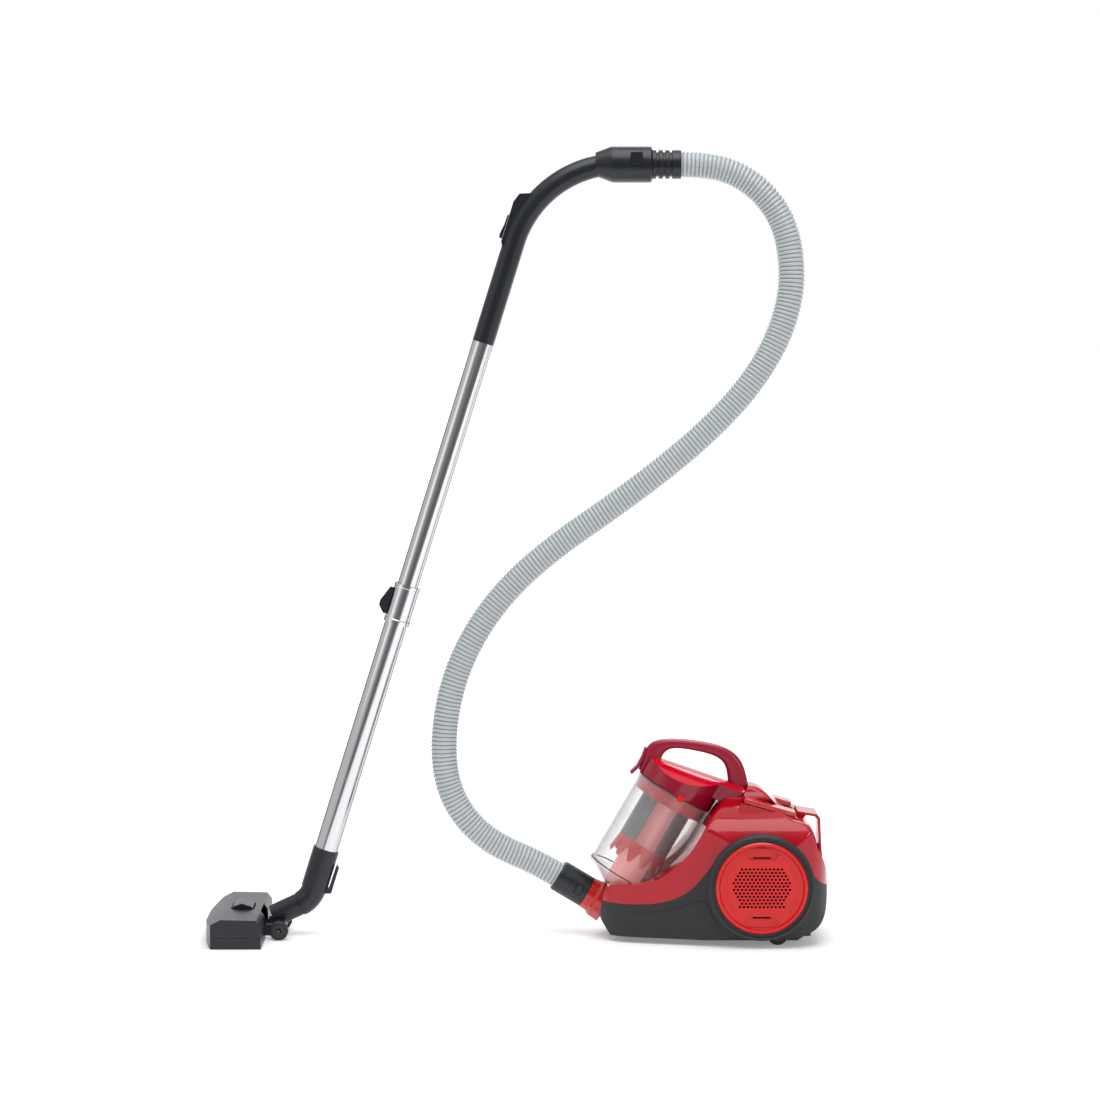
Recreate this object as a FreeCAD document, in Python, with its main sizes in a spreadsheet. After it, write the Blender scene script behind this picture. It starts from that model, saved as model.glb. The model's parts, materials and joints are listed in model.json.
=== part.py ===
import FreeCAD, Part
import math
import os
import re
import Sketcher
from FreeCAD import Placement, Rotation, Vector

# Canister vacuum cleaner with a lift-out cyclone bin, hose, telescopic wand and floor head.
# Millimetres, +Z up, +X towards the back of the canister, Y across it. The origin lies on
# the floor, midway between the floor head's nose and the canister's back.

doc = FreeCAD.newDocument("CanisterVacuum")
sheet = doc.addObject("Spreadsheet::Sheet", "Sizes")

DRIVING_SIZES = {
    # canister shell and the drums on its flanks
    "wall": 2.5, "belly_height": 9.3, "edge_radius": 10, "canister_half_width": 118, "drum_inner_face": 98,
    "drum_outer_face": 128, "drum_radius": 79, "drum_wall": 10, "disc_x": 365, "disc_z": 91,
    "cover_radius": 68.4, "cover_face": 130, "filter_radius": 52, "grille_hole": 3.7,
    "grille_pitch": 5.9, "grille_row": 5.1,
    # cyclone bin, lid and carry handle, on an axis that leans back
    "bin_x": 239, "bin_z": 218, "bin_lean": 30, "bin_radius": 59, "bin_height": 145,
    "bin_wall": 2, "flange_radius": 60.5, "flap_depth": 22, "cradle_gap": 2, "core_radius": 25,
    "shroud_radius": 40, "lid_radius": 61, "tail_half_width": 35, "tail_reach": 88.5,
    "crown_radius": 113, "crown_slope": 19, "handle_width": 28,
    # motor, reel, pedals and running gear
    "motor_radius": 55, "reel_radius": 68, "pedal_length": 80, "pedal_width": 38,
    "pedal_thickness": 7, "rear_wheel_radius": 15, "rear_wheel_width": 13, "rear_wheel_x": 390.7,
    "rear_wheel_y": 87, "castor_x": 181, "castor_radius": 9.5, "castor_trail": 8,
    # hose, cuff and the inlet they plug into
    "inlet_x": 107.1, "inlet_z": 65.1, "inlet_rise": 30.8, "inlet_bore": 20, "cuff_radius": 24,
    "cuff_length": 51, "hose_radius": 20, "hose_wall": 1.6, "hose_inset": 12,
    "swivel_z": 1158.7, "swivel_x": 203.5,
    # handle and telescopic wand, on an axis that leans forward
    "grip_x": -48.2, "grip_z": 893.4, "wand_lean": 17.3, "grip_radius": 16.3, "grip_bend": 165,
    "grip_straight": 157, "upper_radius": 16, "upper_length": 483, "lower_radius": 17.5,
    "tube_wall": 1, "sleeve_top": 381, "sleeve_length": 60, "sleeve_radius": 20,
    "wand_reach": 799, "collar_radius": 27.2,
    # elbow, neck and floor head
    "elbow_radius": 18.5, "elbow_bend": 40, "neck_rise": 25, "axle_x": -354.8, "axle_z": 14,
    "head_half_width": 130, "head_wheel_radius": 14, "brush_gap": 1,
}
for row, (word, number) in enumerate(DRIVING_SIZES.items(), start=1):
    sheet.set(f"A{row}", word)
    sheet.set(f"B{row}", str(number))
    sheet.setAlias(f"B{row}", word)
doc.recompute()

NODES = {}
Y_AXIS = Vector(0, 1, 0)
FULL_TURN = 360


def cell(word):
    """Value of one cell of the sheet."""
    return float(sheet.get(word))


def bound(formula):
    """Write a formula in words as an expression on the sheet's cells."""
    return re.sub(r"[a-z][a-z_]+", lambda word: "Sizes." + word.group(0)
                  if word.group(0) in DRIVING_SIZES else word.group(0), str(formula))


def value(formula):
    """Present value of a formula in words."""
    return float(sheet.evalExpression(bound(formula)))


def bind(thing, **formulas):
    for name, formula in formulas.items():
        thing.setExpression(name, bound(formula))


def keep(label, thing):
    """Register the finished object as the sub-part with this label."""
    thing.Label = label
    NODES[label] = thing
    return thing


def at(x, y, z, axis=Y_AXIS, angle=0):
    return Placement(Vector(x, y, z), Rotation(axis, angle))


def local(frame, x, y, z, axis=Y_AXIS, angle=0):
    """A placement given in the coordinates of another frame."""
    return frame * at(x, y, z, axis, angle)


BIN_FRAME = at(cell("bin_x"), 0, cell("bin_z"), angle=cell("bin_lean"))
INLET_FRAME = at(cell("inlet_x"), 0, cell("inlet_z"), angle=cell("inlet_rise") - 90)
WAND_FRAME = at(cell("grip_x"), 0, cell("grip_z"), angle=cell("wand_lean"))
SWIVEL_FRAME = at(cell("swivel_x"), 0, cell("swivel_z"), angle=90)
LEFT, RIGHT = -1, 1
SIDES = (("left", LEFT), ("right", RIGHT))


def flank_frame(side):
    """Local z points out of the canister's flank, through the middle of the exhaust disc."""
    return at(cell("disc_x"), 0, cell("disc_z"), Vector(1, 0, 0), -90 * side)


# ---- ways of making a piece -------------------------------------------------------------

def corner_sketch(body, role, corners):
    """Closed outline whose every corner is held by expressions on the sheet."""
    sketch = body.newObject("Sketcher::SketchObject", "Outline")
    plane = [item for item in body.Origin.OriginFeatures if item.Role == role][0]
    sketch.AttachmentSupport = [(plane, "")]
    sketch.MapMode = "FlatFace"
    points = [Vector(value(across), value(up), 0) for across, up in corners]
    count = len(points)
    for index, point in enumerate(points):
        sketch.addGeometry(Part.LineSegment(point, points[(index + 1) % count]), False)
    for index in range(count):
        follower = (index + 1) % count
        sketch.addConstraint(Sketcher.Constraint("Coincident", index, 2, follower, 1))
    for index, (across, up) in enumerate(corners):
        for kind, formula, reach in (("DistanceX", across, points[index].x),
                                     ("DistanceY", up, points[index].y)):
            if formula == 0:
                axis = -2 if kind == "DistanceX" else -1
                sketch.addConstraint(Sketcher.Constraint("PointOnObject", index, 1, axis))
                continue
            held = sketch.addConstraint(Sketcher.Constraint(kind, -1, 1, index, 1, reach))
            sketch.setExpression(f"Constraints[{held}]", bound(formula))
    return sketch


def turned(name, outline, place=None):
    """Body of revolution: outline of (radius, height) corners turned about the local z axis."""
    body = doc.addObject("PartDesign::Body", name)
    sketch = corner_sketch(body, "XZ_Plane", outline)
    turn = body.newObject("PartDesign::Revolution", "Turn")
    turn.Profile = sketch
    turn.ReferenceAxis = (sketch, ["V_Axis"])
    turn.Angle = FULL_TURN
    body.Placement = place or Placement()
    return body


def plate(name, outline, width, place=None):
    """Body of an (x, z) outline padded to both sides of the plane y = 0."""
    body = doc.addObject("PartDesign::Body", name)
    sketch = corner_sketch(body, "XZ_Plane", outline)
    pad = body.newObject("PartDesign::Pad", "Pad")
    pad.Profile = sketch
    pad.Midplane = True
    bind(pad, Length=width)
    body.Placement = place or Placement()
    return body


def block(name, length, width, height, place):
    """Box centred in x and y on its place, standing up from it."""
    thing = doc.addObject("Part::Box", name)
    bind(thing, Length=length, Width=width, Height=height)
    thing.Placement = place * at(-value(length) / 2, -value(width) / 2, 0)
    return thing


def rod(name, radius, height, place):
    thing = doc.addObject("Part::Cylinder", name)
    bind(thing, Radius=radius, Height=height)
    thing.Placement = place
    return thing


def fuse(name, *pieces):
    thing = doc.addObject("Part::MultiFuse", name)
    thing.Shapes = list(pieces)
    return thing


def cut(name, base, *tools):
    thing = doc.addObject("Part::Cut", name)
    thing.Base = base
    thing.Tool = tools[0] if len(tools) == 1 else fuse(name + "Tools", *tools)
    return thing


def shaped(name, shape):
    """Object for a form that no feature or primitive describes."""
    thing = doc.addObject("Part::Feature", name)
    thing.Shape = shape
    return thing


# ---- canister shell ---------------------------------------------------------------------

def smooth_face(points, straight):
    """Face inside a closed outline: a spline through the points, closed by straight lines."""
    curve = Part.BSplineCurve()
    curve.interpolate(points)
    ends = [points[-1]] + straight + [points[0]]
    lines = [Part.makeLine(one, two) for one, two in zip(ends, ends[1:])]
    return Part.Face(Part.Wire([curve.toShape()] + lines))


def moved_in(points, depth):
    """Points of a side outline that runs clockwise, moved square to it by the depth."""
    moved = []
    for index, point in enumerate(points):
        before = points[max(index - 1, 0)]
        after = points[min(index + 1, len(points) - 1)]
        along = (after - before).normalize()
        moved.append(point + depth * Vector(along.z, 0, -along.x))
    return moved


# Side view of the canister from the nose over the flank, the spine and the back.
SIDE_VIEW = [(128, 30), (131, 62), (140, 83), (178, 88), (212, 97), (235, 114), (260, 140),
             (282, 176), (307, 207), (330, 222), (349, 230), (380, 215.5), (400, 196), (417, 187),
             (434, 181), (443, 170), (449, 148), (458, 128), (465, 104), (466, 76), (462, 44),
             (431, 19)]
# Half of the plan view from the nose to the back: distance along, half width there.
HALF_PLAN = [(126, 26), (133, 46), (150, 64), (185, 79), (230, 90), (280, 104), (320, 114),
             (365, 118), (410, 116), (440, 106), (458, 84), (467, 50)]
# Half of the back view from the spine over the shoulder to the belly: half width, height.
HALF_BACK = [(26, 231), (36, 214), (60, 206), (84, 195), (102, 180), (113, 160), (118, 130),
             (118.5, 60), (116, 30), (111, 17)]
BELLY_CORNER = 7
SHOULDERS_ABOVE = 100


def canister_form(depth):
    """Solid where the side, plan and back views meet, moved in by a depth."""
    belly = cell("belly_height") + depth
    side = moved_in([Vector(x, 0, z) for x, z in SIDE_VIEW], depth)
    side_solid = smooth_face(side, [Vector(419, 0, belly), Vector(142, 0, belly)])
    side_solid = side_solid.extrude(Vector(0, 300, 0)).translated(Vector(0, -150, 0))

    half = [Vector(x, y - depth, 0) for x, y in HALF_PLAN]
    half[0].x += depth
    half[-1].x -= depth
    plan = half + [Vector(p.x, -p.y, 0) for p in reversed(half)]
    plan_solid = smooth_face(plan, []).extrude(Vector(0, 0, 300))

    half = [Vector(0, y - depth, z - depth) for y, z in HALF_BACK]
    other_half = [Vector(0, -p.y, p.z) for p in reversed(half)]
    shoulder, other_shoulder = Part.BSplineCurve(), Part.BSplineCurve()
    shoulder.interpolate(half)
    other_shoulder.interpolate(other_half)
    corner = Vector(0, half[-1].y - BELLY_CORNER, belly)
    bottom = [half[-1], corner, Vector(0, -corner.y, belly), other_half[0]]
    edges = [Part.makeLine(one, two) for one, two in zip(bottom, bottom[1:])]
    edges += [other_shoulder.toShape(), Part.makeLine(other_half[-1], half[0])]
    back_solid = Part.Face(Part.Wire(edges + [shoulder.toShape()])).extrude(Vector(600, 0, 0))
    form = side_solid.common(plan_solid).common(back_solid)
    shoulders = [edge for edge in form.Edges if edge.BoundBox.ZMin > SHOULDERS_ABOVE]
    return form.makeFillet(cell("edge_radius") - depth, shoulders)


# Line where the crimson upper shell meets the grey chassis, from nose to back.
PARTING_LINE = [(100, 60), (137, 59), (185, 59), (228, 66), (257, 81), (278, 103), (298, 129),
                (322, 148), (365, 153), (408, 144), (434, 118), (456, 93), (500, 88)]


def outline_prism(corners, width):
    """Prism of an (x, z) polygon, centred on the plane y = 0."""
    points = [Vector(x, -width / 2, z) for x, z in corners]
    return Part.Face(Part.makePolygon(points + points[:1])).extrude(Vector(0, width, 0))


def bin_envelope(gap):
    """Space that the bin sweeps as it is lifted out, with a gap all round."""
    radius = cell("flange_radius") + gap
    floor = -cell("bin_height") - cell("flap_depth") - gap
    profile = [(0, floor), (30 + gap, floor), (radius, -cell("bin_height") - 4 - gap / 2),
               (radius, 60), (0, 60)]
    points = [Vector(r, 0, up) for r, up in profile]
    solid = Part.Face(Part.makePolygon(points + points[:1])).revolve(Vector(), Vector(0, 0, 1))
    return solid.transformed(BIN_FRAME.toMatrix())


def tail_envelope(gap):
    """Space that the lid's tail sweeps as the bin is lifted out."""
    width = 2 * (cell("tail_half_width") + gap)
    reach = cell("tail_reach") + gap
    box = Part.makeBox(reach, width, 120, Vector(0, -width / 2, TAIL_FLOOR - gap))
    return box.transformed(BIN_FRAME.toMatrix())


TAIL_FLOOR = 24
WHOLE_WIDTH = 320
PEDAL_X, PEDAL_Y, PEDAL_Z, PEDAL_SLOPE = 378, 58, 199.5, 15.5
WELL_GAP = 1.2
WELL_DEPTH = 16


def pedal_frame(side):
    return at(PEDAL_X, side * PEDAL_Y, PEDAL_Z, angle=PEDAL_SLOPE)


def centred_box(frame, length, width, low, high):
    box = Part.makeBox(length, width, high - low, Vector(-length / 2, -width / 2, low))
    return box.transformed(frame.toMatrix())


def rod_shape(frame, radius, low, high):
    return Part.makeCylinder(radius, high - low, Vector(0, 0, low)).transformed(frame.toMatrix())


def drum_space():
    """Room for both exhaust drums."""
    inner = cell("drum_inner_face")
    spaces = [rod_shape(flank_frame(side), cell("drum_radius"), 0, 160) for _, side in SIDES]
    slab = Part.makeBox(600, 2 * inner, 400, Vector(0, -inner, -50))
    return spaces[0].fuse(spaces[1]).cut(slab)


def make_upper_body(outer, cavity, above):
    """Crimson shell with pedal wells, cut away for the bin, the lid's tail and the drums."""
    shell = outer.cut(cavity).common(above)
    length = cell("pedal_length") + 2 * WELL_GAP
    width = cell("pedal_width") + 2 * WELL_GAP
    wall = cell("wall")
    for _, side in SIDES:
        frame = pedal_frame(side)
        tray = centred_box(frame, length + 2 * wall, width + 2 * wall, -WELL_DEPTH - wall, 0.3)
        shell = shell.fuse(tray)
    for _, side in SIDES:
        shell = shell.cut(centred_box(pedal_frame(side), length, width, -WELL_DEPTH, 60))
    socket = rod_shape(INLET_FRAME, SOCKET_RADIUS, -34, 20)
    tools = [bin_envelope(cell("cradle_gap")), tail_envelope(1.2), drum_space(), socket]
    keep("upper_body", shaped("UpperBody", shell.cut(tools).removeSplitter()))


def make_cradle(cavity):
    """Moulded wall that cups the back and the base of the bin."""
    gap = cell("cradle_gap")
    wall = bin_envelope(gap + cell("wall")).cut(bin_envelope(gap))
    duct_hole = rod_shape(BIN_FRAME, 19, -220, -150)
    cradle = wall.common(cavity).cut([tail_envelope(1.2), duct_hole])
    solid = max(cradle.Solids, key=lambda item: item.Volume)
    keep("bin_cradle", shaped("BinCradle", solid))


CASTOR_POCKET_RADIUS = 25
CASTOR_POCKET_TOP = 26
REAR_POCKET = (43, 19, 33)
SOCKET_RADIUS = 31
DUCT_RADIUS = 22
SCREW_PLACES = [(240, 60), (240, -60), (435, 60), (435, -60)]
GLAND_Y, GLAND_Z, GLAND_RADIUS = 48, 62, 9


def make_chassis(outer, cavity, below):
    """Grey tub with castor and wheel pockets, stub axles, ribs and screw holes."""
    wall = cell("wall")
    shell = outer.cut(cavity).common(below)
    castor = at(cell("castor_x"), 0, 0)
    shell = shell.fuse(rod_shape(castor, CASTOR_POCKET_RADIUS + wall, cell("belly_height"),
                                 CASTOR_POCKET_TOP + wall))
    length, width, top = REAR_POCKET
    wheels = [at(cell("rear_wheel_x"), side * cell("rear_wheel_y"), 0) for _, side in SIDES]
    for frame in wheels:
        pocket_wall = centred_box(frame, length + 2 * wall, width + 1, cell("belly_height"),
                                  top + wall)
        shell = shell.fuse(pocket_wall.common(outer))
    for place in (-50, 74):
        rib_top = 36 if place < 0 else 22.5
        shell = shell.fuse(centred_box(at(cell("disc_x"), place, 0), 16, 4, 10, rib_top))
    shell = shell.cut(rod_shape(castor, CASTOR_POCKET_RADIUS, 0, CASTOR_POCKET_TOP))
    shell = shell.cut([centred_box(frame, length, width - 2 * wall + 1, -5, top)
                       for frame in wheels])
    for x, y in SCREW_PLACES:
        shell = shell.fuse(rod_shape(at(x, y, 0), 7, cell("belly_height"), 24))
        shell = shell.cut(rod_shape(at(x, y, 0), 3.5, 0, 20))
    axles = [rod_shape(at(cell("rear_wheel_x"), side * (cell("rear_wheel_y") - 9), 15,
                          Vector(1, 0, 0), -90 * side), 3, 0, 18) for _, side in SIDES]
    gland = rod_shape(at(0, GLAND_Y, GLAND_Z, angle=90), GLAND_RADIUS, 440, 480)
    socket = rod_shape(INLET_FRAME, SOCKET_RADIUS, -34, 20)
    duct = rod_shape(INLET_FRAME, DUCT_RADIUS, -70, -33)
    shell = shell.cut([bin_envelope(cell("cradle_gap") + wall), drum_space(), gland, socket])
    shell = max(shell.cut(duct).Solids, key=lambda item: item.Volume)
    keep("chassis", shaped("Chassis", shell.multiFuse(axles).removeSplitter()))


def make_shell():
    outer, cavity = canister_form(0), canister_form(cell("wall"))
    parting = [Vector(x, -WHOLE_WIDTH / 2, z) for x, z in PARTING_LINE]
    low_corners = [Vector(x, -WHOLE_WIDTH / 2, -50) for x in (PARTING_LINE[-1][0], PARTING_LINE[0][0])]
    below = smooth_face(parting, low_corners).extrude(Vector(0, WHOLE_WIDTH, 0))
    above = Part.makeBox(700, WHOLE_WIDTH, 400, Vector(0, -WHOLE_WIDTH / 2, -50)).cut(below)
    make_upper_body(outer, cavity, above)
    make_cradle(cavity)
    make_chassis(outer, cavity, below)


# ---- canister fittings ------------------------------------------------------------------

def make_drums():
    """Ring drums on both flanks with the filters behind their snap-in grille covers."""
    rings, filters = [], []
    for name, side in SIDES:
        frame = flank_frame(side)
        outline = [("filter_radius + 6", "drum_inner_face"), ("drum_radius", "drum_inner_face"),
                   ("drum_radius", "drum_outer_face - 3"), ("drum_radius - 3", "drum_outer_face"),
                   ("drum_radius - 5", "drum_outer_face"),
                   ("drum_radius - 5.5", "drum_outer_face - 2"),
                   ("drum_radius - drum_wall", "drum_outer_face - 2"),
                   ("drum_radius - drum_wall", "drum_inner_face + wall"),
                   ("filter_radius + 6", "drum_inner_face + wall")]
        rings.append(turned(f"Ring{name}", outline, frame))
        filters.append(rod(f"Filter{name}", "filter_radius", "10",
                           local(frame, 0, 0, cell("drum_inner_face") + 3)))
        keep(f"exhaust_cover_{name}", grille_cover(name, frame, side))
    keep("side_rings", fuse("SideRings", *rings))
    keep("exhaust_filters", fuse("ExhaustFilters", *filters))


GRILLE_ROWS = 12
GRILLE_LONG_ROW = 15
RECESS_OUTLINE = [(-19, 42), (19, 42), (26, 52), (18, 59), (-18, 59), (-26, 52)]


def arc_groove(name, radius, width, angle, low):
    """Ring sector from the local x axis round by an angle, standing up from a height."""
    ring = Part.makeCylinder(radius + width, 20, Vector(0, 0, low), Vector(0, 0, 1), angle)
    core = Part.makeCylinder(radius, 20, Vector(0, 0, low), Vector(0, 0, 1))
    return shaped(name, ring.cut(core))


def grille_cover(name, frame, side):
    """Round cover with a raised rim, two finger recesses and a six-sided field of holes."""
    rim = [(0, "cover_face - 9"), ("cover_radius - 9", "cover_face - 9"),
           ("cover_radius - 9", "cover_face - 14"), ("cover_radius", "cover_face - 14"),
           ("cover_radius", "cover_face - 2"), ("cover_radius - 2", "cover_face"),
           ("cover_radius - 5", "cover_face"), ("cover_radius - 7", "cover_face - 4"),
           (0, "cover_face - 4")]
    disc = turned(f"Disc{name}", rim, frame)
    face = cell("cover_face")
    tools = []
    for turn in (0, 180):
        points = [Vector(x, y, face - 7) for x, y in RECESS_OUTLINE]
        prism = Part.Face(Part.makePolygon(points + points[:1])).extrude(Vector(0, 0, 10))
        recess = shaped(f"Recess{name}{turn}", prism)
        recess.Placement = local(frame, 0, 0, 0, Vector(0, 0, 1), turn)
        tools.append(recess)
        slot = block(f"Slot{name}{turn}", 27, 2.4, 20, at(0, 0, 0))
        slot.Placement = local(frame, 0, 0, 0, Vector(0, 0, 1), turn) * at(-13.5, 43.4, face - 20)
        tools.append(slot)
        crescent = arc_groove(f"Crescent{name}{turn}", 53, 1.4, 80, face - 5.2)
        crescent.Placement = local(frame, 0, 0, 0, Vector(0, 0, 1), turn - 40)
        tools.append(crescent)
    slit = arc_groove(f"Slit{name}", 59.4, 2.2, 34, face - 8)
    slit.Placement = local(frame, 0, 0, 0, Vector(0, 0, 1), -90 * side - 17)
    tools.append(slit)
    pitch, row_gap = cell("grille_pitch"), cell("grille_row")
    holes = []
    for row in range(GRILLE_ROWS):
        up = (row - (GRILLE_ROWS - 1) / 2) * row_gap
        count = GRILLE_LONG_ROW - round(max(abs(up) - 6, 0) / 6.5)
        count -= (count + row) % 2
        for index in range(count):
            across = (index - (count - 1) / 2) * pitch
            holes.append(Part.makeCylinder(cell("grille_hole") / 2, 12, Vector(across, up, face - 12)))
    field = shaped(f"Holes{name}", Part.makeCompound(holes))
    field.Placement = frame
    return cut(f"Cover{name}", disc, field, *tools)


def make_inlet():
    """Red socket for the hose cuff, its seal against the bin and the duct between them."""
    outline = [("inlet_bore", 0), ("inlet_bore + 4.5", 0), ("inlet_bore + 5.5", -12),
               ("inlet_bore + 9", -16), (SOCKET_RADIUS - 0.3, -34), ("inlet_bore", -34)]
    socket = turned("SocketTurned", outline, INLET_FRAME)
    floor = block("SocketFloor", "120", "120", "40", at(cell("inlet_x") + 20, 0, -24))
    envelope = shaped("SocketClearance", bin_envelope(cell("cradle_gap") + cell("wall")))
    keep("inlet_socket", cut("InletSocket", socket, floor, envelope))

    start, corner, top = 34, 38, -173
    along = rod_shape(INLET_FRAME, DUCT_RADIUS, -corner, -start)
    elbow_place = INLET_FRAME.multVec(Vector(0, 0, -corner))
    depth = BIN_FRAME.inverse().multVec(elbow_place).z
    up = rod_shape(BIN_FRAME, DUCT_RADIUS, depth, top)
    ball = Part.makeSphere(DUCT_RADIUS, elbow_place)
    inner = [rod_shape(INLET_FRAME, DUCT_RADIUS - 3, -corner, 0),
             rod_shape(BIN_FRAME, DUCT_RADIUS - 3, depth, -150),
             Part.makeSphere(DUCT_RADIUS - 3, elbow_place)]
    behind_socket = rod_shape(INLET_FRAME, 90, -start, 60)
    cradle_floor = bin_envelope(cell("cradle_gap") + cell("wall"))
    duct = along.multiFuse([up, ball]).cut(inner + [behind_socket, cradle_floor])
    duct = max(duct.Solids, key=lambda item: item.Volume)
    keep("air_duct", shaped("AirDuct", duct.removeSplitter()))
    floor_height = "-bin_height - flap_depth - cradle_gap"
    keep("inlet_seal", turned("InletSeal", [(20, floor_height), (24, floor_height),
                                            (24, floor_height + " + 1.5"),
                                            (20, floor_height + " + 1.5")], BIN_FRAME))


def make_rear_fittings():
    """Grab handle on the back edge, cord outlet and chassis screws."""
    band = [(419, 184), (423, 192.5), (452, 187.5), (457, 182), (459.5, 133), (462, 112),
            (457.5, 112), (455.5, 133), (453, 180), (449.5, 184), (436, 186.5), (430, 180)]
    handle = plate("Band", band, "2 * tail_half_width - 6")
    body = shaped("BodyForm", canister_form(0))
    keep("rear_grab_handle", cut("RearGrabHandle", handle, body))
    gland = turned("Gland", [(4.5, 452), (GLAND_RADIUS, 452), (GLAND_RADIUS, 465), (7, 466),
                             (4.5, 466)], at(0, GLAND_Y, GLAND_Z, angle=90))
    keep("cord_outlet", gland)
    screws = [rod(f"Screw{index}", 3.5, 9, at(x, y, cell("belly_height") + 1.5))
              for index, (x, y) in enumerate(SCREW_PLACES)]
    keep("chassis_screws", fuse("ChassisScrews", *screws))


def make_motor():
    """Motor can with its rotor and fan, lying across the canister."""
    frame = at(cell("disc_x"), 0, cell("disc_z"), Vector(1, 0, 0), 90)
    can = [(14, 6), ("motor_radius", 6), ("motor_radius", 92), (20, 92), (20, 89),
           ("motor_radius - 3", 89), ("motor_radius - 3", 9), (14, 9)]
    keep("motor_housing", turned("MotorCan", can, frame))
    rotor = [(0, 11), (5, 11), (5, 14), ("motor_radius - 9", 14), ("motor_radius - 14", 24),
             (12, 26), (12, 30), (28, 30), (28, 74), (14, 76), (5, 78), (5, 88), (0, 88)]
    keep("motor_rotor", turned("MotorRotor", rotor, frame))


def make_reel():
    """Cord reel and the spindle that carries it."""
    frame = at(cell("disc_x"), 0, cell("disc_z"), Vector(1, 0, 0), -90)
    drum = [(9, 10), ("reel_radius", 10), ("reel_radius", 12), (34, 12), (34, 66),
            ("reel_radius", 66), ("reel_radius", 68), (9, 68)]
    keep("cord_reel", turned("CordReel", drum, frame))
    spindle = [(0, 2), (16, 2), (16, 5), (8.5, 5), (8.5, 72), (16, 72), (16, 76), (0, 76)]
    pin = turned("ReelPin", spindle, frame)
    post = block("ReelPost", 16, 4, "disc_z - 22.5", at(cell("disc_x"), 74, 22.5))
    keep("reel_spindle", fuse("ReelSpindle", pin, post))


def make_pedals():
    """Power and rewind pedals with a coil spring under each."""
    names = {LEFT: "power", RIGHT: "rewind"}
    for _, side in SIDES:
        name, frame = names[side], pedal_frame(side)
        key = block(f"PedalKey{name}", "pedal_length", "pedal_width", "pedal_thickness",
                    local(frame, 0, 0, 0.5))
        rounded = doc.addObject("Part::Fillet", f"Pedal{name}")
        rounded.Base = key
        rounded.Edges = [(number, 2.4, 2.4) for number in (1, 3, 5, 7, 2, 6, 4, 8, 10, 12)]
        keep(f"pedal_{name}", rounded)
        helix = Part.makeHelix(2.9, 14.5, 5)
        wire = Part.Wire(helix.Edges)
        start = Part.Wire(Part.makeCircle(0.6, Vector(5, 0, 0), Y_AXIS))
        coil = wire.makePipeShell([start], True, True)
        spring = shaped(f"Spring{name}", coil)
        spring.Placement = local(frame, -22, 0, 0.8 - WELL_DEPTH)
        keep(f"pedal_spring_{name}", spring)


def make_running_gear():
    """Swivelling front castor and the two rear wheels on their stub axles."""
    frame = at(cell("castor_x"), 0, 0)
    trail, radius = cell("castor_trail"), cell("castor_radius")
    table = rod("ForkTable", 21, 4, local(frame, 0, 0, 20.5))
    cheeks = [block(f"Cheek{name}", 12, 3, "20.6 - 5", local(frame, -trail, side * 9.5, 5))
              for name, side in SIDES]
    pin = rod("CastorPin", 2, 21, local(frame, -trail, 10.5, radius, Vector(1, 0, 0), 90))
    keep("castor_fork", fuse("CastorFork", table, *cheeks, pin))
    wheel = [(2.4, -6.5), ("castor_radius - 1.5", -6.5), ("castor_radius", -5),
             ("castor_radius", 5), ("castor_radius - 1.5", 6.5), (2.4, 6.5)]
    keep("castor_wheel", turned("CastorWheel", wheel,
                                local(frame, -trail, 0, radius, Vector(1, 0, 0), 90)))
    for name, side in SIDES:
        place = at(cell("rear_wheel_x"), side * cell("rear_wheel_y"), cell("rear_wheel_radius"),
                   Vector(1, 0, 0), 90)
        half = "rear_wheel_width / 2"
        outline = [(3.4, "-" + half), ("rear_wheel_radius - 2", "-" + half),
                   ("rear_wheel_radius", "2 - " + half), ("rear_wheel_radius", half + " - 2"),
                   ("rear_wheel_radius - 2", half), (3.4, half)]
        keep(f"rear_wheel_{name}", turned(f"RearWheel{name}", outline, place))


# ---- cyclone bin ------------------------------------------------------------------------

SKIRT_TEETH = 6


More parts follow.
